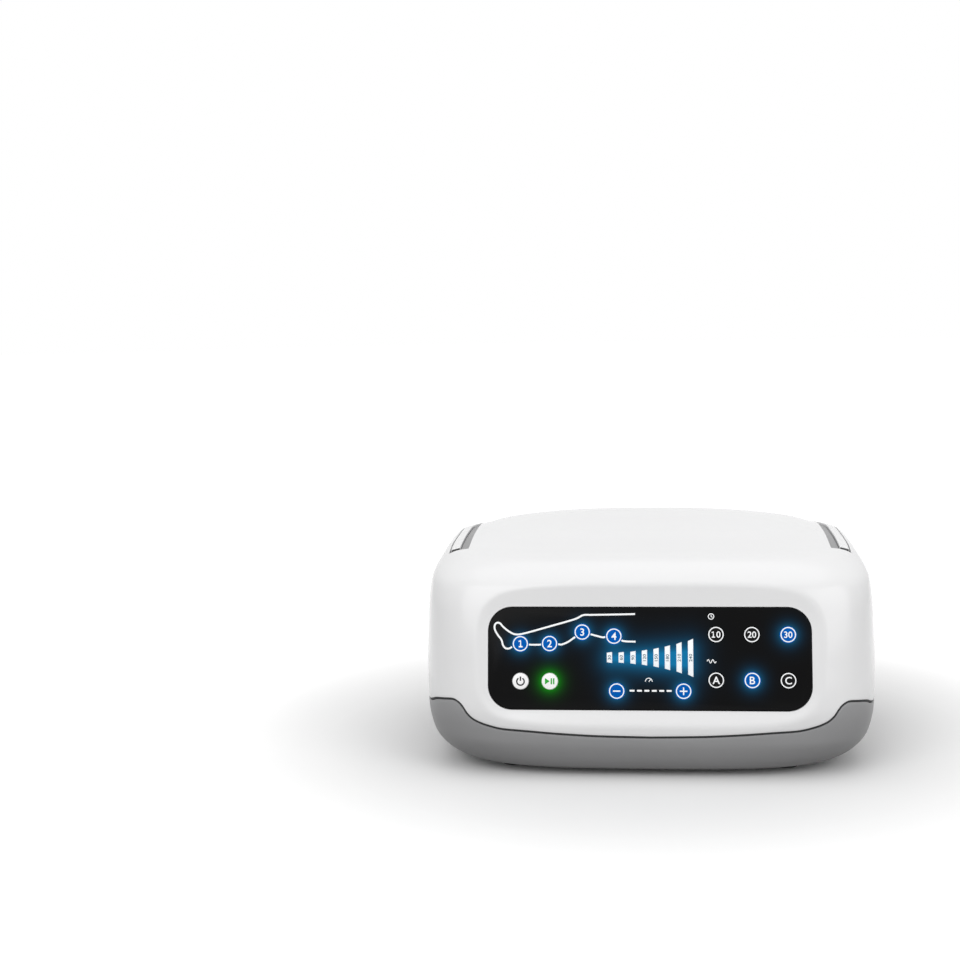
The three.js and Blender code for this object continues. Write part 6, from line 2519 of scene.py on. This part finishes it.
@dataclass(frozen=True)
class Dresser:
    """The finishes of the pump, and what gives them to its pieces."""

    place: PanelPlace

    def finishes(self) -> dict[Slot, Finish]:
        """The finish of each material slot.

        The numbers are the roughness and its spread, the colour's drift and its scale, and the
        grain's scale and height.

        Returns:
            The finishes by slot.
        """
        lit = tuple((key.across, key.up) for key in KEYS if key.slot is Slot.KEY_BLUE)
        green = tuple((key.across, key.up) for key in KEYS if key.name == "play_pause")
        return {
            Slot.WHITE: Finish(
                "white_moulded_plastic", (0.84, 0.84, 0.845), 0.26, 0.012, 0.008, 9.0, 1100.0, 0.0012,
                coat=0.25,
            ),
            Slot.BASE: Finish("gray_satin_plastic", (0.295, 0.295, 0.3), 0.46, 0.06, 0.03, 14.0, 1400.0),
            Slot.STRIP: Finish("gray_strip_plastic", (0.28, 0.28, 0.285), 0.42, 0.06, 0.03, 22.0, 1400.0),
            Slot.PANEL: PanelFinish(
                "black_gloss_panel", (0.0035, 0.0035, 0.0037), 0.2, 0.04, 0.05, 30.0, 700.0, 0.002,
                specular=0.06, blue_keys=lit, green_keys=green,
            ),
            Slot.RUBBER: Finish("black_rubber", (0.012, 0.012, 0.013), 0.7, 0.1, 0.1, 60.0, 1800.0, 0.03),
            Slot.KEY_BLUE: LitFinish(
                "key_lit_blue", (0.0, 0.02, 0.08), 0.36, 0.05, 0.04, 80.0, 1500.0, 0.004,
                specular=0.03, light=(0.0, 0.085, 0.37),
            ),
            Slot.KEY_BLACK: Finish(
                "key_black", (0.004, 0.004, 0.0043), 0.34, 0.05, 0.05, 80.0, 1500.0, 0.004,
                specular=0.08,
            ),
            Slot.KEY_WHITE: LitFinish(
                "key_lit_white", (0.8, 0.8, 0.8), 0.32, 0.05, 0.02, 80.0, 1500.0, 0.004,
                light=(0.2, 0.2, 0.2),
            ),
            Slot.GUIDE: LitFinish(
                "lit_bars", (0.8, 0.82, 0.84), 0.35, 0.05, 0.02, 90.0, 1500.0, 0.004,
                light=(0.22, 0.23, 0.24),
            ),
            Slot.MAT: Finish("silicone_mat", (0.35, 0.35, 0.34), 0.55, 0.08, 0.05, 40.0, 1200.0, 0.02),
            Slot.BOARD: BoardFinish("circuit_board", (0.01, 0.09, 0.03), 0.35, 0.06, 0.08, 60.0, 900.0, 0.01),
            Slot.PLASTIC: Finish(
                "black_plastic", (0.018, 0.018, 0.019), 0.42, 0.08, 0.06, 40.0, 1500.0, 0.025,
            ),
            Slot.STEEL: Finish(
                "brushed_steel", (0.58, 0.58, 0.59), 0.3, 0.1, 0.05, 30.0, 500.0, 0.006,
                stretch=(1.0, 1.0, 12.0), metallic=1.0,
            ),
            Slot.ALUMINIUM: Finish(
                "cast_aluminium", (0.72, 0.73, 0.74), 0.38, 0.1, 0.05, 30.0, 700.0, 0.02, metallic=1.0,
            ),
            Slot.BRASS: Finish(
                "brass", (0.65, 0.45, 0.18), 0.28, 0.1, 0.06, 50.0, 600.0, 0.006,
                metallic=1.0,
            ),
            Slot.HOSE: ClearFinish("clear_hose", (0.8, 0.84, 0.85), 0.15, 0.04, 0.03, 30.0, 500.0, 0.004),
        }

    def prints(self) -> dict[str, Finish]:
        """The inks of the printed marks, and the dark painted shade on the handle's front ends.

        Returns:
            A finish for each name of an ink.
        """
        return {
            # The white ink gives off an even light: painted glow on the panel's lines and signs and on the
            # marks of the unlit keys; on the lit keys it is their light through the marks.
            "white": LitFinish(
                "white_ink_with_painted_glow", (0.85, 0.86, 0.87), 0.45, 0.05, 0.02, 90.0, 1800.0, 0.004,
                light=(0.2, 0.21, 0.21),
            ),
            "black": Finish("black_ink", (0.01, 0.01, 0.011), 0.45, 0.05, 0.05, 90.0, 1800.0, 0.004),
            "dark": Finish("bar_ink", (0.03, 0.10, 0.14), 0.5, 0.05, 0.05, 90.0, 1800.0, 0.004),
            # A dark colour for the sheets on the handle's front ends: painted shade.
            "end": Finish("handle_end_painted_shade", (0.07, 0.07, 0.072), 0.5, 0.06, 0.03, 40.0, 1400.0, 0.02),
            "green": LitFinish(
                "green_ink", (0.0, 0.22, 0.01), 0.45, 0.05, 0.05, 90.0, 1800.0, 0.004,
                light=(0.0, 0.12, 0.0),
            ),
        }

    @cached_property
    def materials(self) -> dict[Slot | str, Material]:
        """Makes the materials of the pump.

        Returns:
            A material for each slot, and one for each ink by its name.
        """
        effects = Effects(self.place)
        plans = {**self.finishes(), **self.prints()}
        return {key: plan.material(effects) for key, plan in plans.items()}

    def dress(self, obj: Object, slot: Slot, body: str, *nodes: str, ink: str = "") -> None:
        """Gives a piece its body, the nodes it replaces, and its slot's material or an ink's."""
        Mesh.finish(obj, self.materials[ink or slot], slot.value, body, nodes)

    def packed_nodes(self) -> None:
        """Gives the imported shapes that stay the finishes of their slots."""
        slots = {row["node"]: row["material_slot"] for row in frame["record"]["subparts"] if "node" in row}
        for name, obj in frame["nodes"].items():
            if name in slots:
                for place in obj.material_slots:
                    place.material = self.materials[Slot(slots[name])]
                log.info("%s: packed shape with its own finish", name)


def main() -> None:
    """Builds the sub-assemblies in order, then the studio. Each piece is reported as it is dressed."""
    logging.basicConfig(level=logging.INFO, format="%(message)s")
    form, place = HousingForm(), PanelPlace()
    dresser, channel = Dresser(place), Channel(form)
    parts = (
        Housing(form, place, channel), channel, CarryHandle(form, channel), ControlPanel(place),
        BackFittings(), Underside(), AirHoses(),
    )
    for part in parts:
        part.build(dresser)
    dresser.packed_nodes()
    Studio().build()
    Mesh.clear()


if __name__ == "__main__":
    main()
